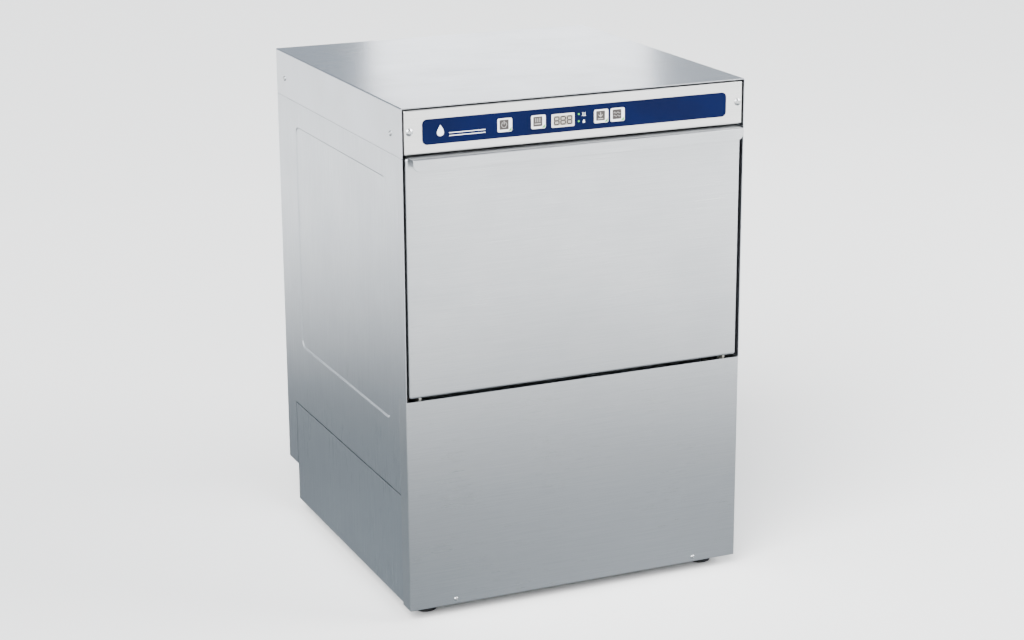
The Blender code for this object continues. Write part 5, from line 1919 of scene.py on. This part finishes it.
@dataclass
class WashChamber:
    """The wet inside: chamber, tank, rails, filters and the overflow pipe."""

    look: Finishes
    fold: float = 0.010
    wall: float = 0.0012
    hole_pitch: float = 0.0105
    bar_share: float = 0.42
    wall_foot: float = 0.338
    funnel_top: float = 0.3315
    funnel_foot: float = 0.3020
    sump_top: float = 0.296
    sump_half: float = 0.125

    def chamber(self) -> None:
        """The walls and the roof, with wide folds."""
        low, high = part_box("wash_chamber")
        middle = middle_of("upper_arm_hub")[:2]
        hole = prism("feed", circle(middle, 0.019), Axis.Z, high.z - 0.01, high.z + 0.01, self.look.chamber)
        sides, metal = ("-Y", "-Z"), self.look.chamber
        sheet = FoldedSheet("chamber_walls", low, high, sides, metal, self.wall, self.fold, 8, cuts=[hole])
        stand_in(sheet.make(), CABINET, "wash_chamber")

    def tank(self) -> None:
        """The tank: straight walls, a funnel and a sump, all with round corners."""
        low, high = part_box("wash_tank")
        y = middle_of("lower_arm_hub")[1]
        middle, half_y = (low.y + high.y) / 2, (high.y - low.y) / 2
        half_x, sump = high.x, self.sump_half
        levels = (
            (half_x, half_y, high.z, middle, 0.014),
            (half_x, half_y, self.wall_foot, middle, 0.014),
            (half_x - 0.006, half_y - 0.006, self.funnel_top, middle, 0.016),
            (sump + 0.006, sump + 0.006, self.funnel_foot, y, 0.022),
            (sump, sump, self.sump_top, y, 0.022),
            (sump - 0.003, sump - 0.003, low.z + 0.005, y, 0.022),
            (sump - 0.008, sump - 0.008, low.z, y, 0.018),
        )
        bm = bmesh.new()
        rings = []
        for reach_x, reach_y, z, centre, radius in levels:
            outline = round_rectangle((-reach_x, centre - reach_y), (reach_x, centre + reach_y), radius)
            rings.append([bm.verts.new((px, py, z)) for px, py in outline])
        for upper, lower in zip(rings, rings[1:]):
            for step in range(len(upper)):
                after = (step + 1) % len(upper)
                bm.faces.new((upper[step], lower[step], lower[after], upper[after]))
        bm.faces.new(rings[-1][::-1])
        bmesh.ops.recalc_face_normals(bm, faces=bm.faces[:])
        tank = thicken(mesh_object("tank_pressing", bm, self.look.chamber), self.wall)
        suction = (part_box("suction_hose")[0].x + 0.024, y)
        for centre, radius in (((0, y), 0.0185), (suction, 0.0245), (middle_of("overflow_pipe")[:2], 0.0175)):
            drill(tank, centre, radius, Axis.Z, low.z - 0.01, low.z + 0.01)
        place = (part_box("tank_heater")[1].x - 0.016, middle_of("tank_heater")[2])
        drill(tank, place, 0.0115, Axis.Y, high.y - 0.01, high.y + 0.01)
        stand_in(soften(tank, 0.00025), CABINET, "wash_tank")

    def rail(self, side: str, sign: int) -> None:
        """An angle with a lip, on which the rack slides.

        Args:
            side: "left" or "right".
            sign: -1 on the left and 1 on the right.
        """
        node = f"{side}_rack_rail"
        low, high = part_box(node)
        wall, edge = max(abs(low.x), abs(high.x)), min(abs(low.x), abs(high.x))
        top, sheet = low.z + 0.006, 0.0015
        section = (
            (wall, high.z), (wall - sheet, high.z), (wall - sheet, top), (edge, top), (edge, low.z),
            (edge + sheet, low.z), (edge + sheet, top - sheet), (wall, top - sheet),
        )
        outline = [(sign * x, z) for x, z in section]
        piece = prism(f"{side}_rail_angle", outline, Axis.Y, low.y, high.y, self.look.arm)
        stand_in(soften(piece, 0.0005, 3), CABINET, node)

    def filter(self, side: str, sign: int) -> None:
        """Half of the flat filter: a perforated sheet in a turned rim.

        Args:
            side: "left" or "right".
            sign: -1 on the left and 1 on the right.
        """
        node = f"{side}_tank_filter"
        low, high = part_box(node)
        y = middle_of("lower_arm_hub")[1]
        metal = self.look.chamber
        drain = middle_of("overflow_pipe")[:2]
        rim = 0.006
        sheet = self.perforated(f"{side}_mesh", low, high, rim, (0.0, y), drain if sign > 0 else None)
        inside_low = (low.x + rim, low.y + rim, low.z - 0.01)
        inside_high = (high.x - rim, high.y - rim, high.z + 0.01)
        cuts = [block("inside", inside_low, inside_high, metal)]
        cuts.append(prism("hub", circle((0, y), 0.026), Axis.Z, low.z - 0.01, high.z + 0.01, metal))
        edge = FoldedSheet("rim", low, high, ("+Z",), metal, 0.0010, 0.0012, 3, cuts=cuts).make()
        parts = [sheet, edge, self.collar("hub_collar", (0.0, y), 0.026, low, sign)]
        if sign > 0:
            parts.append(self.collar("drain_collar", drain, 0.020, low, 0))
        stand_in(joined(f"{side}_filter_screen", parts), CABINET, node)

    def collar(self, name: str, centre: Point, radius: float, low: Vector, sign: int) -> Any:
        """A flat ring round an opening of the filter, halved where the two filters meet.

        Args:
            name: the piece's name.
            centre: the middle of the opening.
            radius: of the opening.
            low: the filter's lowest corner.
            sign: -1 or 1 for a half ring on that side, 0 for a whole one.

        Returns:
            The ring.
        """
        metal = self.look.chamber
        ring = prism(name, circle(centre, radius + 0.008, 64), Axis.Z, low.z + 0.0011, low.z + 0.0019, metal)
        drill(ring, centre, radius, Axis.Z, low.z - 0.01, low.z + 0.01, 64)
        if sign:
            near, far = sorted((-sign * 0.05, sign * 0.0015))
            half_low = (near, centre[1] - 0.05, low.z - 0.01)
            half_high = (far, centre[1] + 0.05, low.z + 0.01)
            boolean(ring, block("half", half_low, half_high, metal))
        return soften(ring, 0.0002)

    def perforated(
        self, name: str, low: Vector, high: Vector, rim: float, hub: Point, drain: Point | None
    ) -> Any:
        """A sheet of square holes, coarser than a real filter's so that they show.

        Args:
            name: the piece's name.
            low: the filter's lowest corner.
            high: its highest corner.
            rim: the width of the plain edge.
            hub: the middle of the arm's feed.
            drain: the middle of the overflow pipe, if it stands in this half.

        Returns:
            The perforated sheet.
        """
        tree = bpy.data.node_groups.new(name + "_tree", "GeometryNodeTree")
        sizes = {
            "Width": high.x - low.x - 2 * rim,
            "Depth": high.y - low.y - 2 * rim,
            "Pitch": self.hole_pitch,
            "Bar Share": self.bar_share,
            "Thickness": 0.0010,
        }
        for size in sizes:
            tree.interface.new_socket(size, in_out="INPUT", socket_type="NodeSocketFloat")
        tree.interface.new_socket("Result", in_out="OUTPUT", socket_type="NodeSocketGeometry")
        given = put(tree, "NodeGroupInput").outputs
        counts = []
        for side in ("Width", "Depth"):
            ratio = put(tree, "ShaderNodeMath", {0: given[side], 1: given["Pitch"]}, operation="DIVIDE")
            count = put(tree, "ShaderNodeMath", {0: ratio.outputs[0], 1: 1.0}, operation="ADD")
            counts.append(count.outputs[0])
        inputs = {"Size X": given["Width"], "Size Y": given["Depth"]}
        inputs |= {"Vertices X": counts[0], "Vertices Y": counts[1]}
        grid = put(tree, "GeometryNodeMeshGrid", inputs).outputs["Mesh"]
        middle = ((low.x + high.x) / 2, (low.y + high.y) / 2, low.z + 0.0006)
        placed = put(tree, "GeometryNodeTransform", {"Geometry": grid, "Translation": middle}).outputs[0]
        position = put(tree, "GeometryNodeInputPosition").outputs[0]
        solid = placed
        openings = [(hub, 0.026)] + ([(drain, 0.020)] if drain else [])
        for centre, radius in openings:
            point = (centre[0], centre[1], middle[2])
            away = put(tree, "ShaderNodeVectorMath", {0: position, 1: point}, operation="DISTANCE")
            inputs = {0: away.outputs["Value"], 1: radius + 0.0035}
            near = put(tree, "ShaderNodeMath", inputs, operation="LESS_THAN").outputs[0]
            inputs = {"Geometry": solid, "Selection": near}
            solid = put(tree, "GeometryNodeDeleteGeometry", inputs, domain="FACE").outputs[0]
        inset = put(tree, "GeometryNodeExtrudeMesh", {"Mesh": solid, "Offset Scale": 0.0, "Individual": True})
        share = put(tree, "ShaderNodeMath", {0: 1.0, 1: given["Bar Share"]}, operation="SUBTRACT").outputs[0]
        inputs = {"Geometry": inset.outputs["Mesh"], "Selection": inset.outputs["Top"], "Scale": share}
        scaled = put(tree, "GeometryNodeScaleElements", inputs).outputs[0]
        inputs = {"Geometry": scaled, "Selection": inset.outputs["Top"]}
        open_mesh = put(tree, "GeometryNodeDeleteGeometry", inputs, domain="FACE").outputs[0]
        real = put(tree, "GeometryNodeRealizeInstances", {"Geometry": open_mesh}).outputs[0]
        inputs = {"Geometry": real, "Material": self.look.chamber}
        finished = put(tree, "GeometryNodeSetMaterial", inputs).outputs[0]
        put(tree, "NodeGroupOutput", {"Result": finished})
        mesh = bpy.data.meshes.new(name)
        mesh.materials.append(self.look.chamber)
        sheet = link(bpy.data.objects.new(name, mesh))
        modifier = sheet.modifiers.new("holes", "NODES")
        modifier.node_group = tree
        for socket in tree.interface.items_tree:
            if socket.in_out == "INPUT":
                modifier[socket.identifier] = sizes[socket.name]
        bake(sheet)
        bpy.data.node_groups.remove(tree)
        return thicken(merge(sheet), sizes["Thickness"], 0.0)

    def overflow(self) -> None:
        """The standing pipe, with a seat below and a grip ring on top."""
        low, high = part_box("overflow_pipe")
        origin = ((low.x + high.x) / 2, (low.y + high.y) / 2, low.z)
        length = high.z - low.z
        profile = [
            (0, 0.0110), (0, 0.0135), (0.010, 0.0168), (0.014, 0.0168), (0.018, 0.0145),
            (length - 0.012, 0.0145), (length - 0.009, 0.0172), (length - 0.002, 0.0175),
            (length, 0.0165), (length, 0.0110),
        ]
        stand_in(lathe("standing_pipe", profile, origin, Axis.Z, self.look.grey), CABINET, "overflow_pipe")

    def heater(self) -> None:
        """The bent heating rod over the funnel."""
        low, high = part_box("tank_heater")
        tank_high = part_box("wash_tank")[1]
        reach, z = high.x - 0.016, high.z - 0.016
        near, far = low.y + 0.004, low.y + 0.044
        corners = [
            (reach, tank_high.y + 0.010, z), (reach, near, z - 0.010), (-reach, near, z - 0.010),
            (-reach, far, z - 0.004), (reach - 0.040, far, z - 0.004),
        ]
        rod = bar("rod", arc_path(corners, 0.012), 0.004, self.look.element)
        profile = [(0, 0), (0, 0.016), (0.006, 0.016), (0.006, 0.007), (0.010, 0.007), (0.010, 0)]
        origin = (reach, tank_high.y + GAP, z)
        flange = lathe("flange", profile, origin, Axis.Y, self.look.screw, 48)
        stand_in(joined("tank_heating_rod", [rod, flange]), CABINET, "tank_heater")

    def build(self) -> None:
        """Makes the wet inside."""
        self.chamber()
        self.tank()
        for side, sign in SIDES:
            self.rail(side, sign)
            self.filter(side, sign)
        self.overflow()
        self.heater()


@dataclass(frozen=True)
class ArmSize:
    """One spray arm: its node, its heading, its size and which way its jets point."""

    node: str
    heading: float
    reach: float
    half_width: float
    jets: int
    upward: int


@dataclass
class SprayArms:
    """The four rotating arms and the two hubs that carry them."""

    look: Finishes
    sizes: tuple[ArmSize, ...] = (
        ArmSize("lower_wash_arm", 24.0, 0.234, 0.019, 6, 1),
        ArmSize("lower_rinse_arm", -38.0, 0.222, 0.010, 5, 1),
        ArmSize("upper_wash_arm", -31.0, 0.234, 0.019, 6, -1),
        ArmSize("upper_rinse_arm", 29.0, 0.222, 0.010, 5, -1),
    )
    boss_radius: float = 0.021
    bore: float = 0.0095
    taper: float = 0.72

    def arm(self, size: ArmSize) -> None:
        """Two tapered flat tubes with round ends, a boss and a row of jets.

        Args:
            size: the arm's size and place.
        """
        low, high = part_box(size.node)
        centre = Vector(middle_of(size.node))
        half = (high.z - low.z) / 2
        thin = half - 0.0010
        bm = bmesh.new()
        rings = []
        stations = 22
        for number in range(stations + 1):
            share = -1 + 2 * number / stations
            distance = abs(share)
            width = size.half_width * (1 - (1 - self.taper) * distance)
            squeeze = math.sqrt(max(0.0, 1 - max(0.0, (distance - 0.90) / 0.10) ** 2))
            width *= 0.35 + 0.65 * squeeze
            height = thin * (0.35 + 0.65 * squeeze)
            ring = []
            for step in range(20):
                angle = math.tau * step / 20
                across = math.copysign(abs(math.cos(angle)) ** 0.62, math.cos(angle)) * width
                up = math.copysign(abs(math.sin(angle)) ** 0.62, math.sin(angle)) * height
                ring.append(bm.verts.new((share * size.reach, across, up)))
            rings.append(ring)
        for ring, following in zip(rings, rings[1:]):
            for step in range(len(ring)):
                after = (step + 1) % len(ring)
                bm.faces.new((ring[step], ring[after], following[after], following[step]))
        bm.faces.new(rings[0][::-1])
        bm.faces.new(rings[-1])
        blade = to_object("blade", bm, self.look.arm)
        profile = [(-half, 0), (-half, self.boss_radius - 0.002), (-half + 0.002, self.boss_radius)]
        profile += [(half - 0.002, self.boss_radius), (half, self.boss_radius - 0.002), (half, 0)]
        boss = lathe("boss", profile, (0, 0, 0), Axis.Z, self.look.arm, 56, 0.0)
        boolean(blade, boss, "UNION")
        drill(blade, (0, 0), self.bore, Axis.Z, -0.03, 0.03)
        soften(blade, 0.0003)
        jets = self.jets(size, thin)
        turn = Matrix.Translation(centre) @ Matrix.Rotation(math.radians(size.heading), 4, "Z")
        piece = joined(size.node + "_pressed", [blade, jets])
        piece.data.transform(turn)
        stand_in(piece, size.node, size.node)

    def jets(self, size: ArmSize, face: float) -> Any:
        """The raised jets of one arm.

        Args:
            size: the arm's size and place.
            face: the height of the arm's flat above its middle.

        Returns:
            The jets as one piece.
        """
        places = []
        for side in (-1, 1):
            for number in range(size.jets):
                share = 0.22 + 0.66 * number / (size.jets - 1)
                offset = 0.30 * size.half_width * (1 if number % 2 else -1)
                point = (side * share * size.reach, offset, size.upward * (face - 0.0006))
                places.append(Place(point, (0, 0.12 * side, size.upward), (0, 1, 0)))
        sizes = {"Radius": 0.0034, "Height": 0.0019, "Length": 0.0042, "Slit": 0.0011}
        kit = Repeater(f"{size.node}_jets", sizes, self.look.arm)
        rise = kit.calculate("MULTIPLY", kit.size("Height"), 0.5)
        base = kit.place_at(kit.cylinder(kit.size("Radius"), kit.size("Height"), 20), z=rise)
        inputs = {0: kit.size("Length"), 1: kit.size("Slit"), 2: kit.size("Height")}
        slit_size = kit.node("ShaderNodeCombineXYZ", inputs)
        slit = kit.node("GeometryNodeMeshCube", {"Size": slit_size.outputs[0]}).outputs[0]
        lifted = kit.place_at(slit, z=kit.size("Height"))
        return kit.build(kit.subtract(base, lifted), places)

    def hubs(self) -> None:
        """The fixed feeds below and above."""
        low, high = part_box("lower_arm_hub")
        origin = (*middle_of("lower_arm_hub")[:2], 0.0)
        stem, bore, flange, spindle = 0.0155, 0.0115, 0.026, 0.0085
        shoulder = high.z - 0.034
        lower = [
            (low.z, bore), (low.z, 0.0170), (low.z + 0.0065, 0.0170), (low.z + 0.0065, flange),
            (low.z + 0.0110, flange), (low.z + 0.0130, stem + 0.002), (low.z + 0.0170, stem),
            (shoulder, stem), (shoulder, spindle), (high.z, spindle - 0.0006), (high.z, 0.0055),
            (shoulder - 0.0055, 0.0055), (shoulder - 0.0095, bore),
        ]
        stand_in(lathe("lower_feed", lower, origin, Axis.Z, self.look.arm), CABINET, "lower_arm_hub")
        low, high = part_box("upper_arm_hub")
        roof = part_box("wash_chamber")[1].z - 0.0012
        shoulder = low.z + 0.034
        upper = [
            (high.z, bore), (high.z, 0.0175), (roof - GAP, 0.0175), (roof - GAP, flange),
            (roof - 0.005, flange), (roof - 0.008, stem), (shoulder, stem), (shoulder, spindle),
            (low.z, spindle - 0.0006), (low.z, 0.0055), (shoulder + 0.0055, 0.0055),
            (shoulder + 0.0075, bore),
        ]
        stand_in(lathe("upper_feed", upper, origin, Axis.Z, self.look.arm), CABINET, "upper_arm_hub")

    def build(self) -> None:
        """Makes the arms and the hubs."""
        for size in self.sizes:
            self.arm(size)
        self.hubs()


@dataclass
class WaterWorks:
    """Pump, motor, hoses, boiler and connections below the tank and behind the chamber."""

    look: Finishes
    motor_ribs: int = 22
    hub_radius: float = 0.026
    volute_radius: float = 0.071
    drain_level: float = 0.218

    def pump_axis(self) -> tuple[float, float]:
        """The pump's axis as (y, z)."""
        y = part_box("lower_arm_hub")[0].y + self.hub_radius
        return y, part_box("pump_casing")[0].z + self.volute_radius

    def motor(self) -> None:
        """The motor: flange, ribbed body, fan cowl, foot and terminal box."""
        low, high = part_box("pump_motor")
        y, z = self.pump_axis()
        radius, length = 0.058, high.x - low.x
        profile = [
            (0, 0.0072), (0, 0.071), (0.007, 0.071), (0.010, radius - 0.004),
            (length - 0.035, radius - 0.004), (length - 0.034, radius + 0.003),
            (length - 0.008, radius + 0.003), (length, radius - 0.006), (length, 0), (0.022, 0),
            (0.022, 0.0072),
        ]
        body = lathe("body", profile, (low.x, y, z), Axis.X, self.look.paint, 72)
        places = []
        for number in range(self.motor_ribs):
            angle = math.tau * (number + 0.5) / self.motor_ribs
            facing = (0.0, math.cos(angle), math.sin(angle))
            point = (low.x + 0.070, y + facing[1] * (radius - 0.0045), z + facing[2] * (radius - 0.0045))
            places.append(Place(point, facing, (1, 0, 0)))
        sizes = {"Length": 0.112, "Width": 0.0022, "Height": 0.0045}
        kit = Repeater("ribs", sizes, self.look.paint)
        inputs = {0: kit.size("Length"), 1: kit.size("Width"), 2: kit.size("Height")}
        size = kit.node("ShaderNodeCombineXYZ", inputs)
        rib = kit.node("GeometryNodeMeshCube", {"Size": size.outputs[0]}).outputs[0]
        raised = kit.place_at(rib, z=kit.calculate("MULTIPLY", kit.size("Height"), 0.5))
        ribs = soften(kit.build(raised, places), 0.0005)
        box_low = (low.x + 0.040, y - 0.032, z + radius - 0.010)
        box_high = (low.x + 0.118, y + 0.032, high.z)
        terminal = soften(block("terminal", box_low, box_high, self.look.black), 0.003, 4)
        foot_low = (low.x + 0.030, y - 0.050, low.z)
        foot_high = (low.x + 0.120, y + 0.050, z - radius + 0.012)
        foot = soften(block("foot", foot_low, foot_high, self.look.paint), 0.002, 3)
        stand_in(joined("motor_unit", [body, ribs, terminal, foot]), CABINET, "pump_motor")

    def boiler(self) -> None:
        """The rinse boiler, a welded can with round shoulders, and its heater."""
        low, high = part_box("boiler")
        origin = ((low.x + high.x) / 2, (low.y + high.y) / 2, low.z)
        radius, height, wall = (high.x - low.x) / 2, high.z - low.z, 0.0015
        profile = [(0, 0), (0, radius - 0.014)]
        profile += self.shoulder(0.014, radius - 0.014, 0.014, 180, 90)
        profile += [(height * 0.5 - 0.002, radius - 0.0004), (height * 0.5, radius)]
        profile += [(height * 0.5 + 0.002, radius - 0.0004)]
        profile += self.shoulder(height - 0.018, radius - 0.014, 0.014, 90, 20)
        profile += [(height, 0.046), (height, 0.034), (height - wall, 0.034)]
        profile += [(height - 0.006, radius - 0.014), (height - 0.018, radius - wall)]
        profile += [(0.014, radius - wall), (wall, radius - 0.014), (wall, 0)]
        can = lathe("boiler_can", profile, origin, Axis.Z, self.look.chamber, 72, 0.0)
        stand_in(can, CABINET, "boiler")
        cap = [(0, 0), (0, 0.043), (0.005, 0.043), (0.007, 0.024), (0.018, 0.024), (0.018, 0)]
        cover = lathe("cover", cap, (origin[0], origin[1], high.z + GAP), Axis.Z, self.look.zinc, 56)
        reach, end, bend = 0.024, high.z + 0.002, low.z + 0.030
        corners = [
            (origin[0] - reach, origin[1], end), (origin[0] - reach, origin[1], bend),
            (origin[0] + reach, origin[1], bend), (origin[0] + reach, origin[1], end),
        ]
        loop = bar("loop", arc_path(corners, 0.016), 0.004, self.look.element)
        stand_in(joined("boiler_heating_loop", [cover, loop]), CABINET, "boiler_element")

    def shoulder(self, along: float, radius: float, round_off: float, start: float, end: float) -> Outline:
        """An arc of a turned profile, between two angles in degrees.

        Args:
            along: the arc's middle along the axis.
            radius: the arc's middle from the axis.
            round_off: the arc's radius.
            start: the first angle.
            end: the last angle.

        Returns:
            The points of the arc.
        """
        points = []
        for step in range(7):
            angle = math.radians(start + (end - start) * step / 6)
            points.append((along + round_off * math.cos(angle), radius + round_off * math.sin(angle)))
        return points

    def hoses(self) -> None:
        """Suction, riser and drain hoses, each with its clamps."""
        y, z = self.pump_axis()
        low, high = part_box("suction_hose")
        x = low.x + 0.024
        self.hose("suction_hose", [(x, y, high.z), (x, y, z), (high.x, y, z)], 0.038, 0.024, self.look.hose)
        low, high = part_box("riser_hose")
        radius = high.x
        start = (0.0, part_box("pump_casing")[1].y + GAP, z)
        roof = high.z - radius
        back = high.y - radius
        end = (0, y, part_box("upper_arm_hub")[1].z + GAP)
        corners = [start, (0, back, z), (0, back, roof), (0, y, roof), end]
        self.hose("riser_hose", corners, 0.022, radius, self.look.hose)
        low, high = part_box("drain_hose")
        radius = (high.x - low.x) / 2
        x = low.x + radius
        front, rear = low.y + radius, high.y - radius
        level = self.drain_level
        corners = [(x, front, high.z), (x, front, level), (x, rear, level), (x, rear, low.z)]
        self.hose("drain_hose", corners, 0.024, radius, self.look.grey)

    def hose(self, node: str, corners: Sequence[Point], bend: float, radius: float, material: Any) -> None:
        """One hose along its route, with a clamp near each end.

        Args:
            node: the CAD node that it replaces.
            corners: the ends of its straight runs.
            bend: the radius of its bends.
            radius: of the hose.
            material: its finish.
        """
        path = arc_path(corners, bend, 14)
        pieces = [bar("tube", path, radius, material, 7)]
        for end, inner in ((corners[0], corners[1]), (corners[-1], corners[-2])):
            pieces.append(self.clamp(Vector(end), Vector(inner), radius))
        stand_in(joined(node + "_moulded", pieces), CABINET, node)

    def clamp(self, end: Vector, inner: Vector, radius: float) -> Any:
        """A steel band round a hose, a little in from its end.

        Args:
            end: the end of the hose.
            inner: the next corner of its route.
            radius: of the hose.

        Returns:
            The clamp.
        """
        inward = (inner - end).normalized()
        axis = max(Axis, key=lambda each: abs(inward[each.value]))
        half, band, start = 0.0045, 0.0010, 0.012
        profile = [
            (-half, radius - 0.0004), (-half, radius + band), (half, radius + band),
            (half, radius - 0.0004),
        ]
        return lathe("clamp", profile, tuple(end + inward * start), axis, self.look.screw, 48, 0.0)

    def fittings(self) -> None:
        """The inlet valve, the cable gland and the pump's casing and impeller."""
        low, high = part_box("inlet_valve")
        origin = (low.x + 0.018, (low.y + high.y) / 2, low.z + 0.020)
        tail = [(-0.020, 0.0080)]
        for turn in range(9):
            start = -0.020 + turn * 0.0022
            tail += [(start + 0.0004, 0.0113), (start + 0.0013, 0.0120)]
        tail += [
            (0.0018, 0.0120), (0.0018, 0.0165), (0.0060, 0.0165), (0.0060, 0.0120), (0.0400, 0.0120),
            (0.0400, 0), (0.0060, 0), (0.0060, 0.0080),
        ]
        body = lathe("tail", tail, origin, Axis.Z, self.look.brass, 56, 0.0)
        coil_low = (low.x, low.y, low.z + 0.056)
        coil = soften(block("coil", coil_low, (high.x, high.y, high.z), self.look.black), 0.003, 4)
        stand_in(joined("water_inlet", [body, coil]), CABINET, "inlet_valve")
        low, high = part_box("cable_gland")
        middle = ((low.x + high.x) / 2, (low.y + high.y) / 2)
        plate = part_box("connection_plate")[0].z
        origin = (*middle, plate)
        gland = [
            (-0.024, 0.0060), (-0.024, 0.0088), (-0.022, 0.0100), (-0.016, 0.0135), (-0.009, 0.0148),
            (-0.009, 0.0138), (-0.007, 0.0138), (-0.007, 0.0150), (-GAP, 0.0150), (-GAP, 0.0100),
            (0.012, 0.0100), (0.012, 0.0060),
        ]
        stand_in(lathe("supply_gland", gland, origin, Axis.Z, self.look.black, 56), CABINET, "cable_gland")
        dress("pump_casing", self.look.black)
        dress("pump_impeller", self.look.grey)

    def build(self) -> None:
        """Makes the hidden works."""
        self.motor()
        self.boiler()
        self.hoses()
        self.fittings()


@dataclass
class Studio:
    """A pale floor, soft lights and the camera."""

    lens: float = 80.93
    place: Point = (-1.5366, -3.5335, 1.531)
    yaw: float = 23.680
    pitch: float = 16.383
    roll: float = -0.313
    floor_half: float = 40.0
    floor_colour: str = "F6F6F5"
    # Tones of the painted shade seen in the steel: darker on the left, fading to the floor colour between
    # start and end metres beyond the footprint.
    painted_shade_left: str = "565C60"
    painted_shade_right: str = "6E7275"
    painted_shade_start: float = 0.7
    painted_shade_end: float = 2.5
    footprint: float = 0.3
    room_light: float = 2.75
    key_light: float = 9.5
    key_spread: float = 50.0
    key_heading: Point = (0.55, 0.50, -0.67)

    def sheet(self, name: str, half: float, level: float, material: Any) -> Any:
        """A flat square on the floor.

        Args:
            name: its name.
            half: half its side.
            level: its height.
            material: its finish.

        Returns:
            The sheet.
        """
        bm = bmesh.new()
        corners = [(-half, -half), (half, -half), (half, half), (-half, half)]
        face = bm.faces.new([bm.verts.new((x, y, level)) for x, y in corners])
        face.normal_update()
        made = mesh_object(name, bm, material)
        return made

    def floor(self) -> None:
        """The floor, at the level of the feet."""
        work = Shading("floor_paint", self.floor_colour, 0.85)
        work.set("Specular IOR Level", 0.15)
        work.bump(work.noise(3.0), 0.0001)
        self.sheet("floor", self.floor_half, -0.0006, work.material)

    def painted_shade_sheet(self) -> None:
        """Painted shade: a dark sheet round the machine, seen only in its steel, which darkens the lower
        panels.
        """
        work = Shading("painted_shade_in_reflection", self.painted_shade_left, 0.95)
        work.set("Specular IOR Level", 0.0)
        tree, place = work.tree, work.place
        size = (self.footprint, self.footprint, 0.0)
        out = put(tree, "ShaderNodeVectorMath", {0: place}, operation="ABSOLUTE").outputs[0]
        out = put(tree, "ShaderNodeVectorMath", {0: out, 1: size}, operation="SUBTRACT").outputs[0]
        out = put(tree, "ShaderNodeVectorMath", {0: out, 1: (0, 0, 0)}, operation="MAXIMUM").outputs[0]
        reach = put(tree, "ShaderNodeVectorMath", {0: out}, operation="LENGTH").outputs["Value"]
        share = spread(tree, reach, 0.0, 1.0, self.painted_shade_start, self.painted_shade_end)
        across = put(tree, "ShaderNodeSeparateXYZ", {0: place}).outputs["X"]
        near = blend_tones(tree, spread(tree, across, 0.0, 1.0, -0.6, 0.2), self.painted_shade_left, self.painted_shade_right)
        tone = put(tree, "ShaderNodeMix", {0: share, 6: near, 7: linear(self.floor_colour)}, data_type="RGBA")
        work.feed("Base Color", tone.outputs[2])
        # Painted shade: the sheet is kept from the camera, diffuse bounces and shadows, so only reflections
        # in the steel see it.
        shade_card = self.sheet("painted_shade_sheet", self.painted_shade_end + self.footprint, -0.0003, work.material)
        shade_card.visible_camera = False
        shade_card.visible_diffuse = False
        shade_card.visible_shadow = False

    def room(self) -> None:
        """A grey room: light near the ground and darker overhead, so that folds show as dark lines."""
        world = bpy.data.worlds.new("grey_room")
        world.use_nodes = True
        tree = world.node_tree
        ground = tree.nodes["Background"]
        direction = put(tree, "ShaderNodeTexCoord").outputs["Generated"]
        parts = put(tree, "ShaderNodeSeparateXYZ", {0: direction}).outputs
        upward = spread(tree, parts["Z"], 0.0, 1.0, 0.22, 0.62)
        behind = spread(tree, parts["Y"], 0.0, 1.0, 0.35, 0.90)
        around = blend_tones(tree, behind, "FAFBFC", "7F868E")
        tone = put(tree, "ShaderNodeMix", {0: upward, 6: around, 7: linear("50565D")}, data_type="RGBA")
        tree.links.new(tone.outputs[2], ground.inputs["Color"])
        ground.inputs["Strength"].default_value = self.room_light
        bpy.context.scene.world = world

    def lamp(self, name: str, place: Point, target: Point, size: Point, power: float) -> Any:
        """A soft rectangular light that the camera doesn't see.

        Args:
            name: its name.
            place: where it stands.
            target: what it points at.
            size: its width and height.
            power: in watts.

        Returns:
            The light.
        """
        light = bpy.data.lights.new(name, "AREA")
        light.shape = "RECTANGLE"
        light.size, light.size_y = size
        light.energy = power
        obj = link(bpy.data.objects.new(name, light))
        obj.location = place
        heading = Vector(target) - Vector(place)
        obj.rotation_euler = heading.to_track_quat("-Z", "Y").to_euler()
        obj.visible_camera = False
        return obj

    def lights(self) -> None:
        """A large key light high on the left, a weaker one on the right and a card behind for the lid."""
        key = bpy.data.lights.new("key_light", "SUN")
        key.energy = self.key_light
        key.angle = math.radians(self.key_spread)
        sun = link(bpy.data.objects.new("key_light", key))
        sun.rotation_euler = Vector(self.key_heading).to_track_quat("-Z", "Y").to_euler()
        self.lamp("fill_light", (3.6, -2.0, 3.0), (0, 0, 0.2), (2.6, 2.6), 300.0)
        card = self.lamp("lid_card", (0.72, 1.6, 1.22), (0.3, 0.0, 0.85), (0.7, 0.5), 4.0)
        card.visible_diffuse = False

    def camera(self) -> None:
        """The view of the front and the left side, from a little above."""
        yaw, pitch, roll = (math.radians(value) for value in (self.yaw, self.pitch, self.roll))
        level = math.cos(pitch)
        ahead = Vector((math.sin(yaw) * level, math.cos(yaw) * level, -math.sin(pitch)))
        flat_right = Vector((math.cos(yaw), -math.sin(yaw), 0))
        flat_up = flat_right.cross(ahead)
        right = math.cos(roll) * flat_right + math.sin(roll) * flat_up
        up = math.cos(roll) * flat_up - math.sin(roll) * flat_right
        data = bpy.data.cameras.new("camera")
        data.lens = self.lens
        data.sensor_width = 36.0
        camera = link(bpy.data.objects.new("camera", data))
        turn = Matrix((right, up, -ahead)).transposed().to_4x4()
        camera.matrix_world = Matrix.Translation(self.place) @ turn
        bpy.context.scene.camera = camera

    def build(self) -> None:
        """Makes the whole studio."""
        self.floor()
        self.painted_shade_sheet()
        self.room()
        self.lights()
        self.camera()


def main() -> None:
    """Builds the machine and the studio round the frame."""
    logging.basicConfig(level=logging.INFO, format="%(message)s")
    look = Finishes()
    Studio().build()
    outside = (Cabinet(look), ControlPanel(look), Door(look), Feet(look))
    inside = (HingeGear(look), WashChamber(look), SprayArms(look), WaterWorks(look))
    for assembly in outside + inside:
        assembly.build()


if __name__ == "__main__":
    main()
